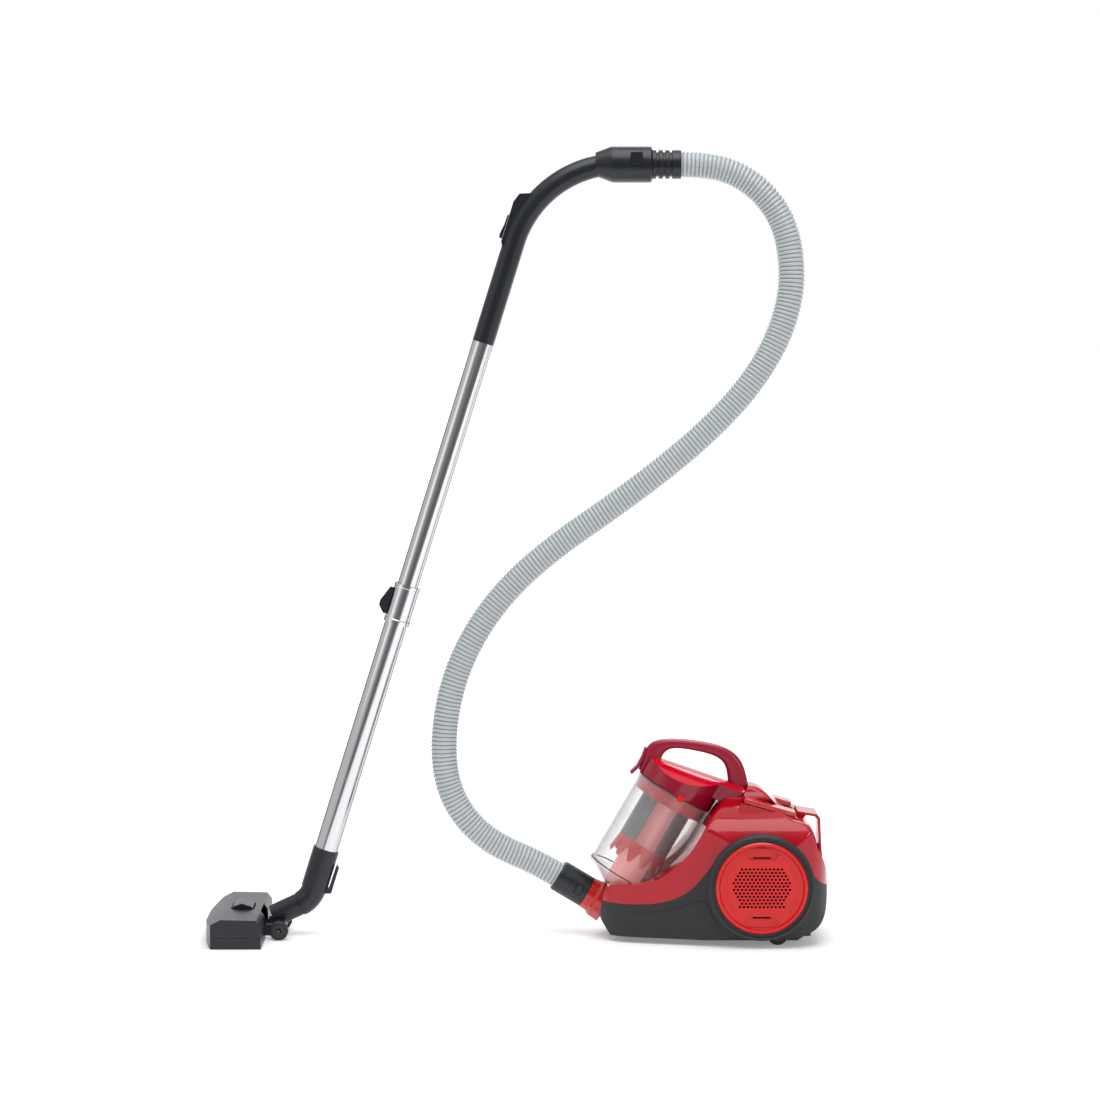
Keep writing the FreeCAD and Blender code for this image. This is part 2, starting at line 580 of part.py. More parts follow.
def make_bin():
    """Clear cup, its conical base and the cyclone parts that stand inside it."""
    low = "-bin_height"
    inside = "bin_radius - bin_wall"
    cup = [(inside, low), ("flange_radius", low), ("flange_radius", low + " + 4"),
           ("bin_radius", low + " + 5"), ("bin_radius", -6), ("flange_radius", -5),
           ("flange_radius", 0), (inside, 0)]
    keep("bin_cup", turned("BinCup", cup, BIN_FRAME))
    seal = [(inside, low + " - 1.5"), ("flange_radius - 0.5", low + " - 1.5"),
            ("flange_radius - 0.5", low), (inside, low)]
    keep("flap_seal", turned("FlapSeal", seal, BIN_FRAME))
    top = low + " - 1.5"
    floor = low + " - flap_depth"
    flap = [("bin_radius - 4", top), ("flange_radius", top), ("flange_radius", top + " - 3"),
            (29, floor), ("core_radius - 4", floor), ("core_radius - 4", floor + " + 2"),
            (28, floor + " + 2"), ("bin_radius - 4", top + " - 2")]
    keep("bin_base_flap", turned("BinBaseFlap", flap, BIN_FRAME))
    core = [("core_radius - 2", floor + " + 2"), ("core_radius", floor + " + 2"),
            ("core_radius", -20), ("core_radius - 2", -20)]
    keep("cyclone_tube", turned("CycloneTube", core, BIN_FRAME))
    shroud = [("shroud_radius - 2", -92), ("shroud_radius", -92), ("shroud_radius", -20),
              ("shroud_radius - 2", -20)]
    keep("mesh_shroud", turned("MeshShroud", shroud, BIN_FRAME))
    skirt = turned("SkirtTurned", [("shroud_radius - 2", -92), ("shroud_radius", -92),
                                   ("shroud_radius + 3", -122), ("shroud_radius + 1", -122)],
                   BIN_FRAME)
    teeth = []
    for index in range(SKIRT_TEETH):
        notch = plate(f"Notch{index}", [(-9, -123), (9, -123), (0, -102)], "120")
        notch.Placement = local(BIN_FRAME, 0, 0, 0, Vector(0, 0, 1), index * 180 / SKIRT_TEETH)
        teeth.append(notch)
    keep("cyclone_skirt", cut("CycloneSkirt", skirt, *teeth))
    cap = [("core_radius", -20), (inside + " - 1", -20), (inside + " - 1", -2),
           (inside + " - 3", -2), (inside + " - 3", -17), ("core_radius", -17)]
    keep("cyclone_cap", turned("CycloneCap", cap, BIN_FRAME))


RIM_RISE = 2


def crown_solid(depth):
    """Long round bar whose top is the crowned surface of the lid."""
    slope = math.radians(cell("crown_slope"))
    radius = cell("crown_radius")
    top = Vector(216.8, 0, 269.3)
    axis = top - radius * Vector(math.sin(slope), 0, math.cos(slope))
    frame = Placement(axis, Rotation(Y_AXIS, 90 + cell("crown_slope")))
    return rod_shape(frame, radius - depth, -120, 260)


def lid_form(depth, low):
    """Round lid with its tail, under the crowned surface, moved in by a depth."""
    radius = cell("lid_radius") - depth
    round_part = rod_shape(BIN_FRAME, radius, low, 90)
    width = 2 * (cell("tail_half_width") - depth)
    tail = Part.makeBox(cell("tail_reach") - depth, width, 90,
                        Vector(0, -width / 2, TAIL_FLOOR + depth))
    tail = tail.transformed(BIN_FRAME.toMatrix())
    return round_part.fuse(tail).common(crown_solid(depth))


def make_lid():
    """Lid shell, its seal and the foam filter it holds."""
    shell = lid_form(0, RIM_RISE).cut(lid_form(cell("wall"), RIM_RISE - 1))
    keep("bin_lid", shaped("BinLid", shell.removeSplitter()))
    inside = "bin_radius - bin_wall"
    seal = [(inside + " + 0.3", 0), ("flange_radius - 0.3", 0), ("flange_radius - 0.3", RIM_RISE),
            (inside + " + 0.3", RIM_RISE)]
    keep("lid_seal", turned("LidSeal", seal, BIN_FRAME))
    keep("foam_filter", rod("FoamFilter", "bin_radius - 10", 12, local(BIN_FRAME, 0, 0, 3)))


def arc_points(corners, radius):
    """Wire round a closed polygon whose corners are rounded to one radius."""
    points = [Vector(x, 0, z) for x, z in corners]
    edges, count = [], len(points)
    ends = []
    for index, corner in enumerate(points):
        back = (points[index - 1] - corner)
        ahead = (points[(index + 1) % count] - corner)
        half = back.getAngle(ahead) / 2
        reach = min(radius / math.tan(half), 0.45 * back.Length, 0.45 * ahead.Length)
        back.normalize()
        ahead.normalize()
        first, last = corner + reach * back, corner + reach * ahead
        size = reach * math.tan(half)
        middle_way = (back + ahead).normalize()
        centre = corner + middle_way * (size / math.sin(half))
        ends.append((first, centre - middle_way * size, last))
    for index, (first, middle, last) in enumerate(ends):
        edges.append(Part.Arc(first, middle, last).toShape())
        edges.append(Part.makeLine(last, ends[(index + 1) % count][0]))
    return Part.Wire(edges)


def make_carry_handle():
    """Arched handle moulded on the lid, with the release lever on its front leg."""
    outer = [(196, 262), (200, 288), (232, 297), (300, 291), (334, 276), (352, 222), (322, 222)]
    inner = [(212, 262), (228, 284), (296, 276), (318, 264), (318, 222), (240, 222)]
    width = cell("handle_width")
    arch = Part.Face(arc_points(outer, 22)).cut(Part.Face(arc_points(inner, 14)))
    solid = arch.extrude(Vector(0, width, 0)).translated(Vector(0, -width / 2, 0))
    solid = solid.cut([lid_form(0, RIM_RISE), tail_base()])
    solid = max(solid.Solids, key=lambda item: item.Volume)
    keep("carry_handle", shaped("CarryHandle", solid))
    lever = [(194, 286), (189, 272), (181.5, 258), (172, 248.5), (174.5, 245), (184, 253.5),
             (190.5, 264), (195, 275), (198, 284)]
    keep("release_lever", plate("ReleaseLever", lever, "handle_width - 6"))


def tail_base():
    """Everything behind the seam between the lid's tail and the spine."""
    box = Part.makeBox(100, 200, 400, Vector(cell("tail_reach"), -100, -200))
    return box.transformed(BIN_FRAME.toMatrix())


def make_lid_latch():
    """Red catch that locks the lid's rim to the cup."""
    latch = block("LidLatch", 12, 3, 10, local(BIN_FRAME, 8, -cell("lid_radius") - 1.8, -3))
    keep("lid_latch", latch)


# ---- hose -------------------------------------------------------------------------------

# The hose's route as it hangs between the handle and the canister: (x, z) of each point.
HOSE_ROUTE = [(240, 1158.7), (284, 1158.7), (332, 1145), (373, 1114), (400, 1072), (412, 1022),
              (412, 962), (390, 892), (347, 824), (288, 761), (217, 701), (141, 645), (63, 591),
              (-7, 531), (-61, 460), (-96, 381), (-110, 296), (-103, 224), (-72, 170), (-26, 134),
              (28.9, 111.7), (73.6, 85.1)]
ARC_SHARE = 0.45


def make_hose():
    """Plain tube along straight runs that are joined by tangent arcs."""
    route = [Vector(x, 0, z) for x, z in HOSE_ROUTE]
    edges, here, radii = [], route[0], []
    for before, corner, after in zip(route, route[1:], route[2:]):
        back, ahead = before - corner, after - corner
        reach = ARC_SHARE * min(back.Length, ahead.Length)
        half_turn = (math.pi - back.getAngle(ahead)) / 2
        radius = reach / math.tan(half_turn)
        back.normalize()
        ahead.normalize()
        inward = (back + ahead).normalize()
        middle = corner + inward * (radius / math.cos(half_turn) - radius)
        first, last = corner + reach * back, corner + reach * ahead
        edges += [Part.LineSegment(here, first).toShape(), Part.Arc(first, middle, last).toShape()]
        radii.append(round(radius))
        here = last
    edges.append(Part.LineSegment(here, route[-1]).toShape())
    path = Part.Wire(edges)
    outer, inner = cell("hose_radius"), cell("hose_radius") - cell("hose_wall")
    along = (route[1] - route[0]).normalize()
    tubes = [path.makePipeShell([Part.Wire(Part.makeCircle(radius, route[0], along))], True, False)
             for radius in (outer, inner)]
    tube = tubes[0].cut(tubes[1])
    length = sum(edge.Length for edge in edges)
    expected = math.pi * (outer ** 2 - inner ** 2) * length
    print("hose radii", radii, "length", round(length), "volume ratio", tube.Volume / expected)
    keep("hose", shaped("Hose", tube))


BUTTON_FACE = 25.5


def make_cuff():
    """Dark cuff with a spigot for the inlet and a squeeze button on each side."""
    bore = "inlet_bore - 3.5"
    pocket = "cuff_length - hose_inset"
    outline = [(bore, -25), ("inlet_bore - 0.4", -25), ("inlet_bore - 0.4", 0.3),
               ("cuff_radius", 0.3), ("cuff_radius", "cuff_length - 3"),
               ("cuff_radius - 1.5", "cuff_length"), ("hose_radius + 0.4", "cuff_length"),
               ("hose_radius + 0.4", pocket), (bore, pocket)]
    body = turned("CuffBody", outline, INLET_FRAME)
    wells = []
    for name, side in SIDES:
        frame = local(INLET_FRAME, 0, side * 19.2, 8, Vector(1, 0, 0), -90 * side)
        wells.append(block(f"ButtonWell{name}", 15, 11, 12, local(frame, 0, side * -6, 0)))
        key = block(f"CuffButton{name}", 14, 10, BUTTON_FACE - 20.9, local(frame, 0, side * -6, 1.7))
        keep(f"cuff_button_{name}", key)
    keep("hose_cuff", cut("HoseCuff", body, *wells))


RELIEF_LENGTH = 43.5
RELIEF_SLOTS = (6, 16, 26)


def make_strain_relief():
    """Ribbed sleeve on the hose end, with the spigot that the handle turns on."""
    slots = []
    for start in RELIEF_SLOTS:
        slots += [(21.8, start), (18.6, start), (18.6, start + 4), (21.8, start + 4)]
    pocket = RELIEF_LENGTH - 7
    outline = ([(15, -38), (17, -38), (17, 0.4), (21.8, 0.4)] + slots
               + [(21.8, RELIEF_LENGTH - 1), (21.3, RELIEF_LENGTH), (20.35, RELIEF_LENGTH),
                  (20.35, pocket), (15, pocket)])
    keep("strain_relief", turned("StrainRelief", outline, SWIVEL_FRAME))


# ---- handle and wand --------------------------------------------------------------------

def grip_path():
    """Centre line of the grip, straight and then bent level, as a wire and its first point."""
    lean, bend = cell("wand_lean"), cell("grip_bend")
    first = WAND_FRAME.Base
    knee = WAND_FRAME.multVec(Vector(0, 0, cell("grip_straight")))
    centre = WAND_FRAME.multVec(Vector(bend, 0, cell("grip_straight")))
    half = math.radians((180 - lean + 90) / 2)
    middle = centre + bend * Vector(math.cos(half), 0, math.sin(half))
    last = centre + Vector(0, 0, bend)
    return Part.Wire([Part.makeLine(first, knee), Part.Arc(knee, middle, last).toShape()])


def grip_pipe(radius):
    path = grip_path()
    start = path.Vertexes[0].Point
    along = WAND_FRAME.Rotation.multVec(Vector(0, 0, 1))
    section = Part.Wire(Part.makeCircle(radius, start, along))
    return path.makePipeShell([section], True, False)


def make_grip():
    """Bent grip with its spigot for the wand and the raised seat of the air valve."""
    seat = [(4, 146), (-15.5, 146), (-19, 152), (-19, 214), (-14, 228), (8, 236)]
    points = [Vector(x, -10, z) for x, z in seat]
    pad = Part.Face(Part.makePolygon(points + points[:1])).extrude(Vector(0, 20, 0))
    pad = pad.transformed(WAND_FRAME.toMatrix())
    spigot = rod_shape(WAND_FRAME, 14.7, -35, 1)
    outer = grip_pipe(cell("grip_radius")).fuse(pad).fuse(spigot)
    bore = grip_pipe(12.8).fuse(rod_shape(WAND_FRAME, 12.8, -36, 2))
    keep("grip", shaped("Grip", outer.cut(bore).removeSplitter()))
    slider = [(-19.4, 156), (-23.5, 157), (-24.5, 162), (-22, 178), (-21.5, 192), (-19.4, 194)]
    keep("valve_slider", plate("ValveSlider", slider, 14, WAND_FRAME))


def make_collar():
    """Swivel collar on the end of the grip, with its square button."""
    outline = [(0, -84), (17.4, -84), ("collar_radius - 1", -61), ("collar_radius", -57),
               ("collar_radius", -2), ("collar_radius - 2", 0), (0, 0)]
    body = turned("CollarBody", outline, SWIVEL_FRAME)
    grip_space = shaped("GripSpace", grip_pipe(cell("grip_radius")))
    bore = rod("CollarBore", 17.4, 50, local(SWIVEL_FRAME, 0, 0, -46))
    frame = at(cell("swivel_x") - 23, -20.6, cell("swivel_z") + 8, Vector(1, 0, 0), 90)
    well = block("CollarWell", 18, 20.8, 12, frame)
    keep("swivel_collar", cut("SwivelCollar", body, grip_space, bore, well))
    keep("collar_button", block("CollarButton", 17, 19.8, 5.6, local(frame, 0, 0, 1.8)))


def make_wand():
    """Both wand tubes with the telescope sleeve and its catch."""
    tube = [("upper_radius - tube_wall", "-upper_length"), ("upper_radius", "-upper_length"),
            ("upper_radius", 0), ("upper_radius - tube_wall", 0)]
    keep("upper_tube", turned("UpperTube", tube, WAND_FRAME))
    low, top = "-wand_reach - 30", "-sleeve_top - 2"
    tube = [("lower_radius - tube_wall", low), ("lower_radius", low), ("lower_radius", top),
            ("lower_radius - tube_wall", top)]
    keep("lower_tube", turned("LowerTube", tube, WAND_FRAME))
    end = "-sleeve_top - sleeve_length"
    sleeve = [("lower_radius", end), ("sleeve_radius", end), ("sleeve_radius", end + " + 6"),
              ("sleeve_radius - 0.6", end + " + 7"), ("sleeve_radius - 0.6", "-sleeve_top - 5"),
              ("sleeve_radius", "-sleeve_top - 4"), ("sleeve_radius", "-sleeve_top"),
              ("upper_radius + 0.5", "-sleeve_top"), ("upper_radius + 0.5", top),
              ("lower_radius", top)]
    keep("telescope_sleeve", turned("TelescopeSleeve", sleeve, WAND_FRAME))
    catch = [(-15, -390), (-24.5, -390), (-33.5, -414), (-33, -421), (-24, -431), (-15, -431)]
    wedge = plate("CatchWedge", catch, 15, WAND_FRAME)
    space = rod("CatchSpace", "sleeve_radius + 0.4", 90, local(WAND_FRAME, 0, 0, -460))
    keep("telescope_trigger", cut("TelescopeTrigger", wedge, space))


# ---- elbow, neck and floor head ---------------------------------------------------------

SOCKET_DROP = 62
SOCKET_BORE_DROP = 30


def elbow_point(rise):
    """Point and frame on the elbow's centre line where it climbs at an angle above level."""
    bend = cell("elbow_bend")
    centre = WAND_FRAME.multVec(Vector(-bend, 0, -cell("wand_reach") - SOCKET_DROP))
    slope = math.radians(rise)
    place = centre + bend * Vector(math.sin(slope), 0, -math.cos(slope))
    return at(place.x, 0, place.z, angle=90 - rise)


def elbow_arc(radius, low, high):
    """Bent rod of one radius between two angles of climb."""
    frame = elbow_point(low)
    centre = WAND_FRAME.multVec(Vector(-cell("elbow_bend"), 0, -cell("wand_reach") - SOCKET_DROP))
    along = frame.Rotation.multVec(Vector(0, 0, 1))
    disc = Part.Face(Part.Wire(Part.makeCircle(radius, frame.Base, along)))
    return disc.revolve(centre, Vector(0, -1, 0), high - low)


def make_socket():
    """Wand socket with its parking hook, and the elbow below it."""
    reach, radius = cell("wand_reach"), cell("elbow_radius")
    split = 50
    steep = 90 - cell("wand_lean")
    outer = rod_shape(WAND_FRAME, radius + 1.3, -reach - SOCKET_DROP, -reach)
    bent = elbow_arc(radius, split, steep)
    fin = [(15, -reach - 66), (27, -reach - 62), (27, -reach - 22), (22, -reach - 18),
           (21, -reach - 56), (15, -reach - 58)]
    points = [Vector(x, -7, z) for x, z in fin]
    hook = Part.Face(Part.makePolygon(points + points[:1])).extrude(Vector(0, 14, 0))
    hook = hook.transformed(WAND_FRAME.toMatrix())
    bore = [rod_shape(WAND_FRAME, cell("lower_radius"), -reach - SOCKET_BORE_DROP, -reach + 1),
            rod_shape(WAND_FRAME, radius - 3.5, -reach - SOCKET_DROP, -reach - 29),
            elbow_arc(radius - 3.5, split, steep)]
    socket = outer.multiFuse([bent, hook]).cut(bore)
    keep("wand_socket", shaped("WandSocket", socket.removeSplitter()))
    low = cell("neck_rise")
    elbow = elbow_arc(radius, low, split).cut(elbow_arc(radius - 3.5, low - 2, split + 2))
    keep("elbow", shaped("Elbow", elbow))


NECK_REACH = 44
NECK_GAP = 0.4


def neck_frame():
    frame = elbow_point(cell("neck_rise"))
    return frame * at(0, 0, -NECK_GAP)


def make_neck():
    """Neck that the elbow swivels on, with the barrel of the tilt hinge."""
    frame = neck_frame()
    axle = at(cell("axle_x"), 0, cell("axle_z"), Vector(1, 0, 0), 90)
    tube = rod_shape(frame, 17, -NECK_REACH, 0)
    barrel = rod_shape(axle, 9, -31, 31)
    cheeks = centred_box(at(cell("axle_x"), 0, cell("axle_z")), 16, 62, 0, 12)
    body = tube.multiFuse([barrel, cheeks])
    body = body.cut([rod_shape(frame, 13.5, -NECK_REACH - 1, 1), rod_shape(axle, 3.4, -40, 40)])
    body = max(body.Solids, key=lambda item: item.Volume)
    keep("neck", shaped("Neck", body.removeSplitter()))


HEAD_BACK = -376
HEAD_BOW = [(-451, 130), (-457, 100), (-463, 55), (-466, 0)]
COVER_PROFILE = [(-468, 17.4), (-464, 30), (-436, 44), (-384, 43), (-377, 34), (-376, 17.4)]
NECK_SWEEP = 39
SOLE_TOP = 17.3
STRIP_PLACES = (-440.5, -388.5)


def head_plan(depth):
    """Prism of the head's plan: bowed front, straight back, moved in by a depth."""
    front = [Vector(x + depth, -(y - depth if y else 0), 0) for x, y in HEAD_BOW]
    front += [Vector(point.x, -point.y, 0) for point in reversed(front[:-1])]
    curve = Part.BSplineCurve()
    curve.interpolate(front)
    back = [front[-1], Vector(HEAD_BACK - depth, front[-1].y, 0),
            Vector(HEAD_BACK - depth, front[0].y, 0), front[0]]
    lines = [Part.makeLine(one, two) for one, two in zip(back, back[1:])]
    return Part.Face(Part.Wire([curve.toShape()] + lines)).extrude(Vector(0, 0, 80))


def make_head():
    """Sole, cover, rocker pedal, brush strips and wheels of the floor head."""
    axle = at(cell("axle_x"), 0, cell("axle_z"), Vector(1, 0, 0), 90)
    slab = Part.makeBox(200, 300, SOLE_TOP, Vector(-500, -150, 0))
    sole = head_plan(0).common(slab)
    arms = [centred_box(at(-362, side * 36, 0), 36, 5, 5, SOLE_TOP) for _, side in SIDES]
    arms += [centred_box(at(-359.5, side * 36, 0), 31, 5, 5, 22) for _, side in SIDES]
    sweep = rod_shape(axle, NECK_SWEEP, -33, 33)
    mouth = Part.makeBox(24, 210, 30, Vector(-428, -105, 0))
    grooves = [Part.makeBox(7, 240, 15.5, Vector(x - 3.5, -120, 0)) for x in STRIP_PLACES]
    sole = sole.cut([sweep, mouth] + grooves).multiFuse(arms)
    sole = sole.cut([rod_shape(axle, 3.0, -60, 60)])
    keep("head_base", shaped("HeadBase", sole.removeSplitter()))

    profile = outline_prism(COVER_PROFILE, 300)
    inner_profile = outline_prism([(-472, 10), (-461.5, 29), (-435.5, 41.5), (-385, 40.5),
                                   (-379.5, 33), (-378.5, 10)], 300)
    shell = profile.common(head_plan(0)).cut(inner_profile.common(head_plan(cell("wall"))))
    window = Part.makeBox(34, 60, 20, Vector(-428, -30, 36))
    cover = shell.cut([sweep, window])
    keep("head_cover", shaped("HeadCover", cover.removeSplitter()))

    rocker = [(-426.5, 44.5), (-424, 47.5), (-412, 51.8), (-398, 47.5), (-395.5, 44.5),
              (-399, 39.5), (-423, 39.5)]
    keep("brush_pedal", plate("BrushPedal", rocker, 56))
    strips = [block(f"Strip{index}", 5.6, 236, 11, at(x, 0, cell("brush_gap")))
              for index, x in enumerate(STRIP_PLACES)]
    keep("brush_strips", fuse("BrushStrips", *strips))
    pin = rod("HeadAxlePin", 3.0, 118, local(axle, 0, 0, -59))
    keep("head_axle", pin)
    wheels = []
    for name, side in SIDES:
        outline = [(3.4, -6), (5, -6.5), ("head_wheel_radius - 2", -6.5), ("head_wheel_radius", -4.5),
                   ("head_wheel_radius", 4.5), ("head_wheel_radius - 2", 6.5), (5, 6.5), (3.4, 6)]
        wheels.append(turned(f"HeadWheel{name}", outline, local(axle, 0, 0, -side * 48)))
    keep("head_wheels", fuse("HeadWheels", *wheels))


# ---- the whole object -------------------------------------------------------------------

def make_everything():
    make_shell()
    make_drums()
    make_inlet()
    make_rear_fittings()
    make_motor()
    make_reel()
    make_pedals()
    make_running_gear()
    make_bin()
    make_lid()
    make_carry_handle()
    make_lid_latch()
    make_hose()
    make_cuff()
    make_strain_relief()
    make_grip()
    make_collar()
    make_wand()
    make_socket()
    make_neck()
    make_head()


def check_and_export():
    doc.recompute()
    for thing in doc.Objects:
        if "Invalid" in thing.State or "Error" in thing.State:
            raise RuntimeError(f"{thing.Name} failed: {thing.State}")
    os.makedirs("parts", exist_ok=True)
    for label, thing in NODES.items():
        shape = thing.Shape
        if shape.isNull() or not shape.isValid() or shape.Volume <= 0:
            raise RuntimeError(f"{label} has no valid solid")
        shape.exportStep(f"parts/{label}.step")
    print(len(NODES), "sub-parts written")


make_everything()
check_and_export()
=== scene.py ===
import json
import math

import bpy
import numpy as np
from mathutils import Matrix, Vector
from mathutils.bvhtree import BVHTree

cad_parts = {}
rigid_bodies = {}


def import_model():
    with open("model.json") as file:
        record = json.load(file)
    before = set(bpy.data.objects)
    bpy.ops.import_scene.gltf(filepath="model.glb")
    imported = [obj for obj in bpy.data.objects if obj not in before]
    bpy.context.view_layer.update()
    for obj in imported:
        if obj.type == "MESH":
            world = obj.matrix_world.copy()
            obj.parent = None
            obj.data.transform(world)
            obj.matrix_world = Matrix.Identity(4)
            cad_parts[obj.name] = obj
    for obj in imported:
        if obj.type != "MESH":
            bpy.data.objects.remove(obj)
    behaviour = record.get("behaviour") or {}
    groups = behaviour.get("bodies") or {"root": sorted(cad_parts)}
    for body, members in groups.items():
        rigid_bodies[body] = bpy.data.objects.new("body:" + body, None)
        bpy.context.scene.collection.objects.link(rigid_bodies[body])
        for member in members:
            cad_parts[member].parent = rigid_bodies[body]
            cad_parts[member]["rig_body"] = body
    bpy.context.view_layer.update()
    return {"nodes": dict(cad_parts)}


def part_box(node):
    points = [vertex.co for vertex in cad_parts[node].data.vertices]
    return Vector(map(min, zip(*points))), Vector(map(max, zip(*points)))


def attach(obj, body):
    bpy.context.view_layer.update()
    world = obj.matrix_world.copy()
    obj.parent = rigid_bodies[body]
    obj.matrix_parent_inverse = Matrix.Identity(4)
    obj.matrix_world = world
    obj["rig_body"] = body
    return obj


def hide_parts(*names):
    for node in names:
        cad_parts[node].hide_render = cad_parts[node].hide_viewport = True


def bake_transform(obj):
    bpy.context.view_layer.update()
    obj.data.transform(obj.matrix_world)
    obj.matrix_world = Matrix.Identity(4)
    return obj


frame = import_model()

bl_info = {
    "name": "Canister vacuum cleaner",
    "version": (1, 0, 0),
    "blender": (4, 5, 0),
    "location": "3D View > Sidebar > Vacuum",
    "description": "Builds the visible pieces and finishes of a canister vacuum cleaner "
                   "round its solids",
    "category": "Add Mesh",
}

MM = 0.001


# ---- places taken from the frame --------------------------------------------------------

def turned_axes(lean):
    """Across and along directions of a part that leans towards +X by an angle in degrees."""
    angle = math.radians(lean)
    return (np.array([math.cos(angle), 0, -math.sin(angle)]),
            np.array([math.sin(angle), 0, math.cos(angle)]))


def node_middle(name):
    low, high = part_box(name)
    return (np.array(low) + np.array(high)) / 2


BIN_LEAN, WAND_LEAN = 30, 17.3
BIN_TOP = np.array([239, 0, 218]) * MM
BIN_ACROSS, BIN_UP = turned_axes(BIN_LEAN)
WAND_UP = turned_axes(WAND_LEAN)[1]
SIDEWAYS = np.array([0.0, 1.0, 0.0])

# The hose's route between the handle and the cuff, as (x, z) in millimetres.
HOSE_ROUTE = [(240, 1158.7), (284, 1158.7), (332, 1145), (373, 1114), (400, 1072), (412, 1022),
              (412, 962), (390, 892), (347, 824), (288, 761), (217, 701), (141, 645), (63, 591),
              (-7, 531), (-61, 460), (-96, 381), (-110, 296), (-103, 224), (-72, 170), (-26, 134),
              (28.9, 111.7), (73.6, 85.1)]


# ---- node-based finishes ----------------------------------------------------------------

class Wire:
    """One output of a shader node; arithmetic on it adds Math nodes."""

    def __init__(self, finish, socket):
        self.finish = finish
        self.socket = socket

    def math(self, operation, *others):
        return self.finish.add("ShaderNodeMath", {"operation": operation},
                               dict(enumerate((self, *others))))

    def __add__(self, other):
        return self.math("ADD", other)

    def __sub__(self, other):
        return self.math("SUBTRACT", other)

    def __rsub__(self, other):
        return self.math("MULTIPLY_ADD", -1.0, other)

    def __mul__(self, other):
        return self.math("MULTIPLY", other)

    def __truediv__(self, other):
        return self.math("DIVIDE", other)

    def __pow__(self, other):
        return self.math("POWER", other)

    __radd__ = __add__
    __rmul__ = __mul__

    def step(self, low, high):
        """0 below low, 1 above high and smooth in between."""
        return self.finish.add("ShaderNodeMapRange", {"interpolation_type": "SMOOTHSTEP"},
                               {"Value": self, "From Min": low, "From Max": high})


class Finish:
    """A material: one Principled surface and the nodes that feed it."""

    def __init__(self, name, colour, **constants):
        self.material = bpy.data.materials.new(name)
        self.material.use_nodes = True
        self.tree = self.material.node_tree
        self.tree.nodes.clear()
        self.surface = self.tree.nodes.new("ShaderNodeBsdfPrincipled")
        output = self.tree.nodes.new("ShaderNodeOutputMaterial")
        self.tree.links.new(self.surface.outputs[0], output.inputs["Surface"])
        self.material.diffuse_color = (*colour, 1.0)
        self.feed("Base Color", (*colour, 1.0))
        for word, number in constants.items():
            self.feed(word.replace("_", " ").title().replace("Ior", "IOR"), number)
        self.place = self.add("ShaderNodeTexCoord", out="Object")

    def plug(self, socket, value):
        if isinstance(value, Wire):
            self.tree.links.new(value.socket, socket)
        else:
            socket.default_value = value

    def feed(self, word, value):
        self.plug(self.surface.inputs[word], value)

    def add(self, kind, settings=None, inputs=None, out=0):
        """A node of this kind, its settings first and then its sockets; gives one output."""
        node = self.tree.nodes.new(kind)
        for word, setting in (settings or {}).items():
            if word == "stops":
                ramp = node.color_ramp.elements
                while len(ramp) < len(setting):
                    ramp.new(0.5)
                for stop, (position, colour) in zip(ramp, setting):
                    stop.position, stop.color = position, (*colour, 1.0)
            else:
                setattr(node, word, setting)
        for word, value in (inputs or {}).items():
            self.plug(node.inputs[word], value)
        return Wire(self, node.outputs[out])

    def noise(self, scale, detail=3.0, where=None, roughness=0.5):
        return self.add("ShaderNodeTexNoise", None,
                        {"Vector": where or self.place, "Scale": scale, "Detail": detail,
                         "Roughness": roughness})

    def cells(self, scale, where=None, feature="F1"):
        return self.add("ShaderNodeTexVoronoi", {"feature": feature},
                        {"Vector": where or self.place, "Scale": scale}, out="Distance")

    def vector(self, operation, *values, out=0):
        return self.add("ShaderNodeVectorMath", {"operation": operation},
                        dict(enumerate(values)), out=out)

    def mix(self, share, first, second):
        """Colour between first and second; inputs 6 and 7 of a Mix node are its colours."""
        colours = [c if isinstance(c, Wire) else (*c, 1.0) for c in (first, second)]
        return self.add("ShaderNodeMix", {"data_type": "RGBA"},
                        {0: share, 6: colours[0], 7: colours[1]}, out=2)

    def along(self, point, axis):
        """Distance from a point along an axis, in metres."""
        offset = self.vector("SUBTRACT", self.place, tuple(point))
        return self.vector("DOT_PRODUCT", offset, tuple(axis), out="Value")

    def radius(self, point, axis):
        """Distance from the line through a point along an axis, in metres."""
        offset = self.vector("SUBTRACT", self.place, tuple(point))
        square = self.vector("CROSS_PRODUCT", offset, tuple(axis))
        return self.vector("LENGTH", square, out="Value")

    def stretched(self, axis, factor):
        """Object coordinates squeezed along an axis, so that a pattern runs along it."""
        lengthwise = self.vector("DOT_PRODUCT", self.place, tuple(axis), out="Value")
        shift = self.add("ShaderNodeCombineXYZ", None,
                         {i: lengthwise * float(axis[i] * (factor - 1)) for i in range(3)})
        return self.vector("ADD", self.place, shift)

    def normal(self, height, distance, strength=1.0):
        """Bump: height runs over 0 to 1 and distance is its size in metres."""
        self.feed("Normal", self.add("ShaderNodeBump", None,
                                     {"Height": height, "Distance": distance,
                                      "Strength": strength}, out="Normal"))
        return self


def darker(colour, factor):
    return tuple(part * factor for part in colour)


